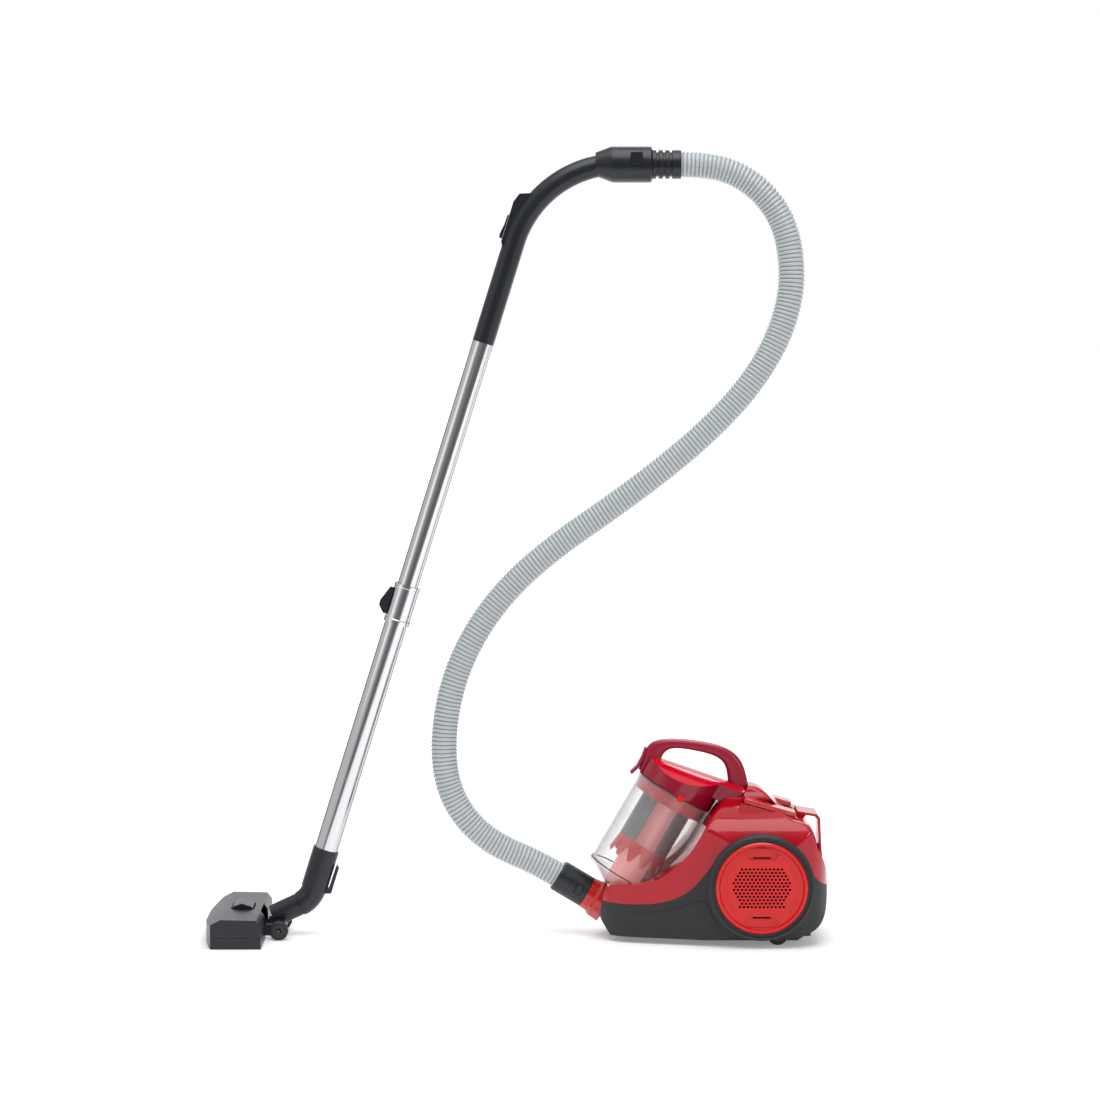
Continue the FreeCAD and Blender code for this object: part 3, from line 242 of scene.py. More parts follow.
def gloss_plastic(name, colour, roughness=0.14, coat=0.25):
    """Glossy moulding: faint flow marks in the colour, dust-fine wear in the gloss."""
    finish = Finish(name, colour, roughness=roughness, coat_weight=coat, coat_roughness=0.05,
                    specular_ior_level=0.3)
    flow = finish.noise(9.0, 2.0)
    finish.feed("Base Color", finish.mix(flow, darker(colour, 0.90), darker(colour, 1.08)))
    wear = finish.noise(210.0, 4.0).step(0.45, 0.75)
    smear = finish.noise(14.0, 3.0).step(0.40, 0.80)
    finish.feed("Roughness", wear * 0.05 + smear * 0.06 + roughness)
    return finish.normal(finish.noise(90.0, 1.0), 0.00003)


def grained_plastic(name, colour, roughness=0.5, grain=1100.0, depth=0.00006):
    """Spark-eroded mould texture: fine round grain and slightly polished high spots."""
    finish = Finish(name, colour, roughness=roughness, ior=1.48)
    pits = finish.cells(grain)
    patches = finish.noise(11.0, 3.0)
    finish.feed("Base Color", finish.mix(patches, darker(colour, 0.85), darker(colour, 1.18)))
    finish.feed("Roughness", pits * 0.18 + patches * 0.10 + (roughness - 0.10))
    return finish.normal(pits * 0.6 + finish.noise(grain * 1.7, 2.0) * 0.4, depth)


def clear_plastic(name, colour, least, rim=0.75, roughness=0.05):
    """Clear moulding: see-through face on, denser and glossier towards its edges."""
    finish = Finish(name, colour, roughness=roughness, coat_weight=0.6, coat_roughness=0.03,
                    ior=1.58)
    facing = finish.add("ShaderNodeLayerWeight", None, {"Blend": 0.5}, out="Facing")
    haze = finish.noise(34.0, 4.0).step(0.35, 0.85)
    scuffs = finish.noise(260.0, 5.0, roughness=0.7).step(0.55, 0.80)
    finish.feed("Base Color", finish.mix(haze, darker(colour, 0.92), colour))
    finish.feed("Roughness", haze * 0.05 + scuffs * 0.06 + roughness)
    finish.feed("Alpha", (facing ** 2.2) * rim + haze * 0.03 + scuffs * 0.02 + least)
    finish.material.surface_render_method = "BLENDED"
    return finish


def chromed_steel(name, axis, roughness=0.06):
    """Polished chrome with hairlines along the tube and a few dull finger marks; the sides
    that turn away get a painted reflection of a dark room, darkened in the base colour."""
    colour, painted_dark_reflection = (0.72, 0.725, 0.74), (0.07, 0.07, 0.075)
    finish = Finish(name, colour, metallic=1.0, roughness=roughness)
    hairs = finish.noise(900.0, 3.0, finish.stretched(axis, 0.02))
    marks = finish.noise(24.0, 4.0).step(0.52, 0.80)
    facing = finish.add("ShaderNodeLayerWeight", None, {"Blend": 0.5}, out="Facing")
    front = finish.mix(hairs, darker(colour, 0.93), colour)
    # Painted reflection: the base colour goes dark where the surface turns from the camera,
    # standing in for a dark room mirrored in the chrome.
    finish.feed("Base Color", finish.mix(facing.step(0.40, 0.78), front, painted_dark_reflection))
    finish.feed("Roughness", hairs * 0.05 + marks * 0.08 + roughness)
    return finish.normal(hairs, 0.000012)


def rubber(name, colour=(0.018, 0.018, 0.020), grain=700.0):
    finish = Finish(name, colour, roughness=0.72, ior=1.5)
    bloom = finish.noise(26.0, 4.0)
    finish.feed("Base Color", finish.mix(bloom, darker(colour, 0.8), darker(colour, 1.7)))
    finish.feed("Roughness", bloom * 0.2 + 0.6)
    return finish.normal(finish.noise(grain, 3.0), 0.00008)


def foam(name, colour=(0.13, 0.13, 0.15)):
    finish = Finish(name, colour, roughness=0.95, sheen_weight=0.3)
    pores = finish.cells(620.0)
    finish.feed("Base Color", finish.mix(pores.step(0.1, 0.6), darker(colour, 1.5),
                                         darker(colour, 0.35)))
    finish.feed("Roughness", pores * 0.1 + 0.85)
    return finish.normal(pores, 0.0006)


def plain_steel(name, colour=(0.56, 0.56, 0.57)):
    finish = Finish(name, colour, metallic=1.0, roughness=0.3)
    brush = finish.noise(420.0, 4.0, finish.stretched(SIDEWAYS, 0.08))
    stain = finish.noise(40.0, 3.0)
    finish.feed("Base Color", finish.mix(stain, darker(colour, 0.8), colour))
    finish.feed("Roughness", brush * 0.15 + stain * 0.1 + 0.18)
    return finish.normal(brush, 0.00003)


# ---- surfaces worked out on grids -------------------------------------------------------

def link(name, mesh):
    thing = bpy.data.objects.new(name, mesh)
    bpy.context.scene.collection.objects.link(thing)
    return thing


def sheet_of_rings(name, rings, joined_ends=False, capped=True):
    """Closed surface through rings of points, an array of ring x point x 3.

    Quad (i, j) joins points j and j + 1 of rings i and i + 1, both counted round. The first
    and last rings are joined to each other, or each is filled by one face."""
    count, points = rings.shape[:2]
    ring = np.arange(count if joined_ends else count - 1)[:, None]
    point = np.arange(points)[None, :]
    after, beside = (ring + 1) % count, (point + 1) % points
    quads = np.stack([ring * points + point, ring * points + beside,
                      after * points + beside, after * points + point], axis=-1)
    faces = quads.reshape(-1, 4).tolist()
    if capped and not joined_ends:
        faces.append(list(range(points))[::-1])
        faces.append([(count - 1) * points + index for index in range(points)])
    mesh = bpy.data.meshes.new(name)
    mesh.from_pydata(rings.reshape(-1, 3), [], faces)
    mesh.polygons.foreach_set("use_smooth", [True] * len(mesh.polygons))
    mesh.update()
    return link(name, mesh)


def oval_ring(steps, power):
    """Unit superellipse: sign(cos t) |cos t|^(2/power) across, the same with sin t along."""
    turn = np.linspace(0, 2 * math.pi, steps, endpoint=False)
    cosine, sine = np.cos(turn), np.sin(turn)
    return (np.sign(cosine) * np.abs(cosine) ** (2 / power),
            np.sign(sine) * np.abs(sine) ** (2 / power))


def smooth_row(points, count):
    """Points evenly spaced in parameter on a uniform cubic B-spline that starts and ends
    at the first and last control point."""
    points = np.array(points, float)
    first, last = 2 * points[0] - points[1], 2 * points[-1] - points[-2]
    padded = np.vstack([first, points, last])
    where = np.linspace(0, len(points) - 1, count)
    cell = np.minimum(where.astype(int), len(points) - 2)
    part = (where - cell)[:, None]
    weights = ((1 - part) ** 3, 3 * part ** 3 - 6 * part ** 2 + 4,
               -3 * part ** 3 + 3 * part ** 2 + 3 * part + 1, part ** 3)
    return sum(weight * padded[cell + index] for index, weight in enumerate(weights)) / 6


def in_plane(pairs, y=0.0):
    """Rows of (x, z) in millimetres as points of the frame, in metres."""
    pairs = np.asarray(pairs, float)
    return np.stack([pairs[:, 0], np.full(len(pairs), y), pairs[:, 1]], axis=1) * MM


def merged_copy(node, name):
    """The CAD node's own triangles, merged into one connected mesh on a new object."""
    mesh = frame["nodes"][node].data.copy()
    mesh.name = name
    thing = link(name, mesh)
    weld = thing.modifiers.new("Weld", "WELD")
    weld.merge_threshold = 0.00002
    return thing


def softened(node, radius, sharp=38, steps=2):
    """Stand-in for a CAD node with its sharp edges rounded to a small moulding radius."""
    thing = merged_copy(node, "moulded_" + node)
    round_edges = thing.modifiers.new("Round", "BEVEL")
    round_edges.width = radius * MM
    round_edges.segments = steps
    round_edges.limit_method = "ANGLE"
    round_edges.angle_limit = math.radians(sharp)
    even = thing.modifiers.new("Even", "WEIGHTED_NORMAL")
    even.weight = 80
    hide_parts(node)
    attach(thing, frame["nodes"][node]["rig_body"])
    return thing


def finish_piece(thing, finish):
    thing.data.materials.clear()
    thing.data.materials.append(finish.material)
    return thing


def finish_node(node, finish):
    """Give a CAD node that stays shown its finish."""
    thing = frame["nodes"][node]
    for place in thing.material_slots:
        place.material = finish.material
    return thing


# ---- pieces -----------------------------------------------------------------------------

def hose_line():
    """The hose's centre line: its route smoothed by Blender's own NURBS spline."""
    curve = bpy.data.curves.new("hose_line", "CURVE")
    curve.dimensions = "3D"
    curve.resolution_u = 24
    spline = curve.splines.new("NURBS")
    spline.points.add(len(HOSE_ROUTE) - 1)
    for point, (x, z) in zip(spline.points, HOSE_ROUTE):
        point.co = (x * MM, 0, z * MM, 1)
    spline.order_u = 3
    spline.use_endpoint_u = True
    thing = link("hose_line", curve)
    line = bpy.data.meshes.new_from_object(thing)
    points = np.zeros(len(line.vertices) * 3)
    line.vertices.foreach_get("co", points)
    bpy.data.objects.remove(thing)
    bpy.data.meshes.remove(line)
    return points.reshape(-1, 3)


def spaced(points, count):
    """The same line as a number of points at equal distances along it, and its length."""
    run = np.concatenate([[0], np.cumsum(np.linalg.norm(np.diff(points, axis=0), axis=1))])
    where = np.linspace(0, run[-1], count)
    return np.stack([np.interp(where, run, points[:, i]) for i in range(3)], axis=1), run[-1]


RINGS_PER_RIB = 8
RING_POINTS = 36
RIB_ROUNDNESS = 0.7


def make_hose(sizes, colours):
    """Ribbed hose: radius(s) = crest - depth * (1 - |cos(pi s / pitch)|^0.7) along its line,
    with the ring at s square to the line."""
    line = hose_line()
    length = np.linalg.norm(np.diff(line, axis=0), axis=1).sum()
    ribs = round(length / sizes.rib_pitch)
    line, length = spaced(line, ribs * RINGS_PER_RIB + 1)
    tangent = np.gradient(line, axis=0)
    tangent /= np.linalg.norm(tangent, axis=1)[:, None]
    normal = np.cross(SIDEWAYS, tangent)
    phase = np.arange(len(line)) / RINGS_PER_RIB
    valley = 1 - np.abs(np.cos(np.pi * phase)) ** RIB_ROUNDNESS
    radius = sizes.hose_diameter / 2 - sizes.rib_depth * valley
    turn = np.linspace(0, 2 * math.pi, RING_POINTS, endpoint=False)[None, :, None]
    out = np.cos(turn) * normal[:, None, :] + np.sin(turn) * SIDEWAYS
    hose = sheet_of_rings("ribbed_hose", line[:, None, :] - radius[:, None, None] * out)
    share = np.repeat(valley, RING_POINTS).astype(np.float32)
    hose.data.attributes.new("valley", "FLOAT", "POINT").data.foreach_set("value", share)
    finish = hose_finish(tuple(colours.hose))
    finish_piece(hose, finish)
    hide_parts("hose")
    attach(hose, "hose")


def hose_finish(colour):
    """Pearly flexible plastic: painted shade in the valleys, a faint sheen on the crests."""
    finish = Finish("hose_plastic", colour, roughness=0.34, ior=1.5, coat_weight=0.25,
                    coat_roughness=0.2)
    valley = finish.add("ShaderNodeAttribute", {"attribute_name": "valley"}, out="Fac")
    cloud = finish.noise(18.0, 3.0)
    grey = finish.mix(cloud, darker(colour, 0.94), darker(colour, 1.03))
    # Painted shade: the colour darkens in the valleys between the ribs.
    finish.feed("Base Color", finish.mix(valley.step(0.15, 1.0) * 0.75, grey,
                                         darker(colour, 0.30)))
    finish.feed("Roughness", valley * 0.25 + cloud * 0.08 + 0.26)
    return finish.normal(finish.noise(600.0, 2.0), 0.00002)


# Side outlines of the carry handle, as (x, z) in millimetres.
HANDLE_OUTER = [(185, 252), (192, 268), (197, 290), (219, 299), (262, 297), (306, 290), (335, 275),
                (347, 250), (352, 218)]
HANDLE_INNER = [(214, 250), (218, 266), (225, 281), (240, 285), (262, 282), (296, 275), (314, 264),
                (319, 245), (321, 214)]
HANDLE_STEPS = 72
HANDLE_SIDES, HANDLE_POWER = 40, 3.4


def make_carry_handle(sizes, finish):
    """Arched handle: at each step a superellipse between the outer and inner outlines,
    point = middle + half depth * sine * outward + half width * cosine * sideways."""
    outer = in_plane(smooth_row(HANDLE_OUTER, HANDLE_STEPS))
    inner = in_plane(smooth_row(HANDLE_INNER, HANDLE_STEPS))
    middle, half = (outer + inner) / 2, (outer - inner) / 2
    across, around = oval_ring(HANDLE_SIDES, HANDLE_POWER)
    rings = (middle[:, None, :] + around[None, :, None] * half[:, None, :]
             + across[None, :, None] * SIDEWAYS * sizes.handle_width / 2)
    handle = sheet_of_rings("arched_handle", rings)
    finish_piece(handle, finish)
    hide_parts("carry_handle")
    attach(handle, "lid")


# Moulded line on each side of the chassis, as (x, z) in millimetres.
FLANK_LINE = [(172, 46), (205, 48), (235, 52), (257, 61), (272, 69), (283, 66), (289, 54),
              (296, 40), (305, 27)]
BEAD_WIDTH = 1.8 * MM
BEAD_RISE = 0.5 * MM
BEAD_STEPS, BEAD_SIDES = 90, 10
CLEAR_OF_FLANK = 200.0


def make_flank_lines(finish):
    """Moulded bead laid on each flank: every point of a smoothed (x, z) row is carried along
    Y onto the chassis, and a flat oval section follows it, point = line + taper *
    (half width * cosine * beside - rise * sine * outward)."""
    surface = BVHTree.FromObject(frame["nodes"]["chassis"],
                                 bpy.context.evaluated_depsgraph_get())
    row = smooth_row(FLANK_LINE, BEAD_STEPS)
    for name, side in (("left", -1), ("right", 1)):
        starts = in_plane(row, side * CLEAR_OF_FLANK)
        hits = [surface.ray_cast(Vector(start), Vector((0, -side, 0)))[0] for start in starts]
        line = np.array([tuple(hit) for hit in hits])
        tangent = np.gradient(line, axis=0)
        tangent /= np.linalg.norm(tangent, axis=1)[:, None]
        outward = np.tile(SIDEWAYS * side, (len(line), 1))
        beside = np.cross(tangent, outward)
        turn = np.linspace(0, 2 * math.pi, BEAD_SIDES, endpoint=False)[None, :, None]
        taper = np.sin(np.linspace(0, math.pi, len(line)))[:, None, None] ** 0.25
        section = (np.cos(turn) * beside[:, None, :] * BEAD_WIDTH / 2
                   - np.sin(turn) * outward[:, None, :] * BEAD_RISE)
        bead = sheet_of_rings("flank_line_" + name, line[:, None, :] + taper * section)
        finish_piece(bead, finish)
        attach(bead, "canister")


TUFTS = 58
TUFT_SIDES = 8
TUFT_ROOT, TUFT_BODY, TUFT_TIP = 1.1 * MM, 1.3 * MM, 2.0 * MM
TUFT_BODY_DROP = 7 * MM
STRIP_EDGE, STRIP_END = 2.8 * MM, 2.2 * MM


def make_brushes(finish):
    """Two rows of nylon tufts where the solid strips are: each is a stack of rings, narrow
    at its root and splayed at its tip."""
    low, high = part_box("brush_strips")
    turn = np.linspace(0, 2 * math.pi, TUFT_SIDES, endpoint=False)
    circle = np.stack([np.cos(turn), np.sin(turn)], axis=1)
    levels = np.array([[high.z, TUFT_ROOT], [high.z - TUFT_BODY_DROP, TUFT_BODY],
                       [low.z, TUFT_TIP]])
    across = np.linspace(low.y + STRIP_END, high.y - STRIP_END, TUFTS)
    spots = np.array([(x, y) for x in (low.x + STRIP_EDGE, high.x - STRIP_EDGE)
                      for y in across])
    points = np.zeros((len(spots), len(levels), TUFT_SIDES, 3))
    points[..., :2] = spots[:, None, None, :] + levels[None, :, 1, None, None] * circle
    points[..., 2] = levels[None, :, 0, None]
    level = np.arange(len(levels) - 1)[:, None]
    side = np.arange(TUFT_SIDES)[None, :]
    beside = (side + 1) % TUFT_SIDES
    quads = np.stack([level * TUFT_SIDES + side, (level + 1) * TUFT_SIDES + side,
                      (level + 1) * TUFT_SIDES + beside, level * TUFT_SIDES + beside], axis=-1)
    one = quads.reshape(-1, 4)
    per_tuft = len(levels) * TUFT_SIDES
    offsets = np.arange(len(spots)) * per_tuft
    faces = (one[None] + offsets[:, None, None]).reshape(-1, 4).tolist()
    root, tip = np.arange(TUFT_SIDES), np.arange(per_tuft - TUFT_SIDES, per_tuft)
    faces += (root[None] + offsets[:, None]).tolist()
    faces += (tip[::-1][None] + offsets[:, None]).tolist()
    mesh = bpy.data.meshes.new("brush_tufts")
    mesh.from_pydata(points.reshape(-1, 3), [], faces)
    mesh.polygons.foreach_set("use_smooth", [True] * len(mesh.polygons))
    tufts = finish_piece(link("brush_tufts", mesh), finish)
    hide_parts("brush_strips")
    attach(tufts, "brushes")


FLOOR_RADIUS, FLOOR_PINHOLE = 30.0, 0.0005
FLOOR_RINGS, FLOOR_SIDES = 5, 64
PAINTED_SHADE_FROM, PAINTED_SHADE_TO = -2.6, -1.5
WHITE_FROM, WHITE_TO = 1.0, 3.2
# Name, place, size in metres and power in watts.
LIGHTS = (("overhead", (0.1, -0.9, 3.4), 2.6, 58.0), ("window", (2.5, -2.3, 1.3), 1.1, 22.0),
          ("bounce", (-2.8, -1.6, 1.5), 1.4, 3.0), ("rim", (0.6, 2.6, 2.4), 1.4, 22.0))
# Each part of the sky: an axis, where it begins and ends along it, and its strengths there.
SKY = (("Y", (0.80, 0.96, 0.26, 1.02)), ("Z", (0.5, 0.95, 0.0, 0.7)),
       ("X", (-0.75, -0.40, 0.36, 0.0)))


LIT_POINT = Vector((0.05, 0, 0.45))
CAMERA_TARGET = Vector((0.05175, 0, 0.58275))
CAMERA_DISTANCE, CAMERA_RISE, VIEW_WIDTH = 6.0, 4.5, 1.65


def make_floor():
    """Pale floor as rings of radius 30 * (i / 5) ** 2 metres down to a pinhole, with painted
    shade in front of the camera's view, a dark sheet for the gloss to mirror, and glowing
    white far behind the object."""
    turn = np.linspace(0, 2 * math.pi, FLOOR_SIDES, endpoint=False)
    circle = np.stack([np.cos(turn), np.sin(turn), 0 * turn], axis=1)
    radii = FLOOR_RADIUS * (np.arange(FLOOR_RINGS, 0, -1) / FLOOR_RINGS) ** 2
    radii = np.append(radii, FLOOR_PINHOLE)
    floor = sheet_of_rings("studio_floor", radii[:, None, None] * circle, capped=False)
    white = (0.90, 0.90, 0.91)
    paper = Finish("studio_paper", white, roughness=0.6, emission_strength=0.22)
    paper.feed("Roughness", paper.noise(3.0) * 0.1 + 0.55)
    depth = paper.along(np.zeros(3), SIDEWAYS)
    # Painted shade: the base colour goes dark towards the camera as a dark sheet for the gloss to
    # mirror; lit is the share left pale.
    lit = depth.step(PAINTED_SHADE_FROM, PAINTED_SHADE_TO)
    paper.feed("Base Color", paper.mix(lit, (0.10,) * 3, white))
    glow = paper.mix(depth.step(WHITE_FROM, WHITE_TO), (1.0,) * 3, (4.2,) * 3)
    paper.feed("Emission Color", paper.mix(lit, (0.2,) * 3, glow))
    finish_piece(floor, paper)


def make_world():
    """White ahead of the camera and overhead, grey all round for the gloss to reflect."""
    world = bpy.data.worlds.new("studio")
    world.use_nodes = True
    tree = world.node_tree
    split = tree.nodes.new("ShaderNodeSeparateXYZ")
    tree.links.new(tree.nodes.new("ShaderNodeTexCoord").outputs["Generated"], split.inputs[0])
    total = None
    for axis, ends in SKY:
        part = tree.nodes.new("ShaderNodeMapRange")
        part.interpolation_type = "SMOOTHSTEP"
        tree.links.new(split.outputs[axis], part.inputs["Value"])
        for word, end in zip(("From Min", "From Max", "To Min", "To Max"), ends):
            part.inputs[word].default_value = end
        adder = tree.nodes.new("ShaderNodeMath")
        adder.inputs[1].default_value = 0.0
        tree.links.new(part.outputs[0], adder.inputs[0])
        if total:
            tree.links.new(total, adder.inputs[1])
        total = adder.outputs[0]
    background = tree.nodes["Background"]
    tree.links.new(total, background.inputs["Strength"])
    background.inputs["Color"].default_value = (1, 1, 1, 1)
    bpy.context.scene.world = world
    bpy.context.scene.view_settings.view_transform = "Standard"


def make_stage():
    """Pale floor, soft lights, a plain world and the camera."""
    make_floor()
    make_world()
    for name, place, size, power in LIGHTS:
        light = bpy.data.lights.new(name, "AREA")
        light.size, light.energy = size, power
        thing = link(name, light)
        thing.location = place
        aim = LIT_POINT - Vector(place)
        thing.rotation_euler = aim.to_track_quat("-Z", "Y").to_euler()

    camera = bpy.data.cameras.new("camera")
    camera.sensor_width = 36.0
    rise = math.radians(CAMERA_RISE)
    camera.lens = camera.sensor_width * CAMERA_DISTANCE / VIEW_WIDTH
    thing = link("camera", camera)
    back = Vector((0, -math.cos(rise), math.sin(rise)))
    thing.location = CAMERA_TARGET + back * CAMERA_DISTANCE
    thing.rotation_euler = (-back).to_track_quat("-Z", "Y").to_euler()
    bpy.context.scene.camera = thing


# ---- finishes given to the pieces -------------------------------------------------------

def shell_finish(name, colour):
    """Crimson moulding under a thin lacquer."""
    return gloss_plastic(name, colour, roughness=0.12, coat=0.3)


def finish_canister(colours):
    crimson = shell_finish("crimson_gloss", tuple(colours.shell))
    for node in ("upper_body", "bin_cradle"):
        finish_node(node, crimson)
    finish_piece(softened("rear_grab_handle", 0.9), crimson)
    charcoal = grained_plastic("charcoal_matte", tuple(colours.charcoal), 0.5)
    for node in ("chassis", "side_rings", "cord_outlet", "castor_fork"):
        finish_node(node, charcoal)
    # The bead's near-black colour is painted shade, standing in for the dark of a moulded groove.
    make_flank_lines(grained_plastic("flank_line_painted_shade", darker(tuple(colours.charcoal), 0.35),
                                     0.4))
    finish_node("chassis_screws", plain_steel("screw_steel"))


def finish_covers(colours):
    scarlet = gloss_plastic("scarlet_gloss", tuple(colours.cover), 0.2, 0.4)
    for node in ("exhaust_cover_left", "exhaust_cover_right"):
        finish_node(node, scarlet)
    pleats = foam("filter_fleece", (0.10, 0.10, 0.11))
    finish_node("exhaust_filters", pleats)


def make_spring(node, finish):
    """Copy of the pedal's coil with its finish, baked in place; its foot and head points are
    worked out but nothing uses them.
    """
    spring = merged_copy(node, "coil_" + node)
    low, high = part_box(node)
    foot, head = node_middle(node), node_middle(node)
    foot[2], head[2] = low[2], high[2]
    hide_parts(node)
    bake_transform(spring)
    finish_piece(spring, finish)


def finish_pedals(colours):
    amber = clear_plastic("pedal_plastic", tuple(colours.pedal), 0.72, 0.3, 0.12)
    for node in ("pedal_power", "pedal_rewind"):
        finish_piece(softened(node, 1.2), amber)
    steel = plain_steel("spring_steel")
    for button in ("power", "rewind"):
        make_spring("pedal_spring_" + button, steel)


SHROUD_WINDOW, SHROUD_BAND = 16.0 * MM, 17.5 * MM


def finish_bin(colours):
    """Clear cup and flap; grey shroud with a clear window in front of the pink tube, whose
    glow is painted light.
    """
    clear = clear_plastic("bin_clear", (0.74, 0.76, 0.78), 0.07, 0.75, 0.04)
    for node in ("bin_cup", "bin_base_flap"):
        finish_node(node, clear)
    pink = clear_plastic("core_pink_painted_glow", (0.95, 0.42, 0.40), 0.80, 0.2, 0.08)
    # Painted glow: a constant pink emission stands in for light passing through the translucent
    # tube.
    pink.feed("Emission Color", (0.95, 0.40, 0.38, 1.0))
    pink.feed("Emission Strength", 0.22)
    finish_node("cyclone_tube", pink)
    smoke = clear_plastic("shroud_smoke", (0.17, 0.18, 0.19), 0.24, 0.80, 0.25)
    across = smoke.along(BIN_TOP, BIN_ACROSS)
    band = (across * across).step(SHROUD_WINDOW ** 2, SHROUD_BAND ** 2)
    smoke.feed("Alpha", band * 0.74 + 0.06)
    finish_node("mesh_shroud", smoke)
    red = clear_plastic("skirt_red", (0.74, 0.02, 0.015), 0.72, 0.3, 0.12)
    for node in ("cyclone_skirt", "cyclone_cap"):
        finish_node(node, red)
    finish_node("flap_seal", rubber("seal_rubber"))


def finish_lid(sizes, colours):
    """Bright crown and deeper side wall, told apart by the angle to the bin's axis; the side
    wall's deeper tone is partly a raspberry colour and partly painted shade.
    """
    crown = shell_finish("lid_gloss", tuple(colours.lid))
    facing = crown.add("ShaderNodeNewGeometry", out="True Normal")
    upward = crown.vector("DOT_PRODUCT", facing, tuple(BIN_UP), out="Value")
    flow = crown.noise(9.0, 2.0)
    side_tone_and_shade, bright = tuple(colours.lid_side), tuple(colours.lid)
    side = crown.mix(flow, darker(side_tone_and_shade, 0.9), darker(side_tone_and_shade, 1.1))
    top = crown.mix(flow, darker(bright, 0.9), darker(bright, 1.08))
    # Partly painted shade: faces turned from the bin's axis get the darker side colour, on top of
    # its raspberry tone.
    crown.feed("Base Color", crown.mix(upward.step(0.35, 0.55), side, top))
    finish_piece(softened("bin_lid", 0.8), crown)
    satin = gloss_plastic("raspberry_satin", tuple(colours.handle), 0.34, 0.15)
    make_carry_handle(sizes, satin)
    finish_piece(softened("release_lever", 0.7), satin)
    latch = gloss_plastic("latch_red", tuple(colours.cover), 0.25, 0.2)
    finish_piece(softened("lid_latch", 0.6), latch)
    finish_node("lid_seal", rubber("lid_rubber"))
    finish_node("foam_filter", foam("filter_foam"))


def finish_inner_parts(colours):
    can = plain_steel("motor_steel", (0.45, 0.46, 0.48))
    for node in ("motor_housing", "motor_rotor"):
        finish_node(node, can)
    dull = grained_plastic("inner_plastic", darker(tuple(colours.charcoal), 1.6), 0.6, 500.0)
    for node in ("cord_reel", "reel_spindle", "air_duct"):
        finish_node(node, dull)
    finish_node("inlet_seal", rubber("inlet_rubber"))


def wheel_finish(name, hub, tyre_from, colour):
    """Soft tyre round a plain hub: the colour changes at a radius from the axle."""
    blur = 0.3 * MM
    finish = rubber(name)
    reach = finish.radius(hub, SIDEWAYS)
    bloom = finish.noise(26.0, 4.0)
    tyre = finish.mix(bloom, (0.012, 0.012, 0.013), (0.028, 0.028, 0.030))
    ring = finish.mix(bloom, darker(colour, 0.85), darker(colour, 1.15))
    finish.feed("Base Color", finish.mix(reach.step(tyre_from - blur, tyre_from + blur), ring,
                                         tyre))
    finish.feed("Roughness", reach.step(tyre_from, tyre_from + 0.0004) * 0.3 + bloom * 0.1 + 0.35)
    return finish


def finish_wheels(colours):
    hub_colour = darker(tuple(colours.charcoal), 1.8)
    for node, tyre_from in (("rear_wheel_left", 0.0098), ("rear_wheel_right", 0.0098),
                            ("castor_wheel", 0.0062), ("head_wheels", 0.0088)):
        hub = node_middle(node)
        finish_piece(softened(node, 0.5), wheel_finish(node + "_tyre", hub, tyre_from, hub_colour))


def finish_hose_ends(colours):
    inlet = clear_plastic("inlet_scarlet", tuple(colours.pedal), 0.78, 0.3, 0.12)
    finish_node("inlet_socket", inlet)
    slate = grained_plastic("slate_satin", tuple(colours.slate), 0.28, 1500.0, 0.00002)
    for node in ("hose_cuff", "cuff_button_left", "cuff_button_right", "strain_relief",
                 "swivel_collar", "collar_button", "valve_slider", "telescope_trigger"):
        finish_piece(softened(node, 0.6), slate)
    finish_piece(softened("grip", 0.8), slate)


def finish_wand():
    chrome = chromed_steel("wand_chrome", WAND_UP)
    for node in ("upper_tube", "lower_tube", "telescope_sleeve"):
        finish_node(node, chrome)


def finish_head(colours):
    slate = grained_plastic("head_plastic", tuple(colours.slate), 0.30, 1300.0, 0.00003)
    for node in ("wand_socket", "elbow", "neck", "head_base", "head_cover", "brush_pedal"):
        finish_piece(softened(node, 0.8), slate)
    finish_node("head_axle", plain_steel("axle_steel", (0.09, 0.09, 0.10)))
    make_brushes(foam("bristle_nylon", (0.03, 0.03, 0.03)))


# ---- the add-on -------------------------------------------------------------------------

class VacuumSizes(bpy.types.PropertyGroup):
    """Sizes of the soft and moulded pieces."""

    hose_diameter: bpy.props.FloatProperty(
        name="Hose diameter", description="Outside diameter over the ribs", default=0.040,
        unit="LENGTH")
    rib_pitch: bpy.props.FloatProperty(
        name="Rib pitch", description="Distance from one rib of the hose to the next",
        default=0.0061, unit="LENGTH")
    rib_depth: bpy.props.FloatProperty(
        name="Rib depth", description="Depth of the valleys between the ribs", default=0.0022,
        unit="LENGTH")
    handle_width: bpy.props.FloatProperty(
        name="Handle width", description="Width of the carry handle", default=0.028,
        unit="LENGTH")


def colour_choice(name, description, default):
    return bpy.props.FloatVectorProperty(name=name, description=description, default=default,
                                         subtype="COLOR", size=3, min=0.0, max=1.0)


class VacuumColours(bpy.types.PropertyGroup):
    """Colours of the mouldings."""

    shell: colour_choice("Shell", "Upper shell of the canister", (0.43, 0.0, 0.010))
    lid: colour_choice("Lid", "Crown of the bin's lid", (0.66, 0.0, 0.018))
    lid_side: colour_choice("Lid side", "Side wall of the bin's lid", (0.27, 0.004, 0.022))
    handle: colour_choice("Handle", "Carry handle", (0.30, 0.006, 0.030))
    cover: colour_choice("Covers", "Exhaust covers and lid catch", (0.62, 0.0, 0.0))
    pedal: colour_choice("Pedals", "Pedals and hose inlet", (0.70, 0.004, 0.002))
    charcoal: colour_choice("Charcoal", "Chassis", (0.016, 0.017, 0.020))
    slate: colour_choice("Slate", "Grip, cuffs and floor head", (0.010, 0.0125, 0.019))
    hose: colour_choice("Hose", "Ribbed hose", (0.50, 0.54, 0.56))


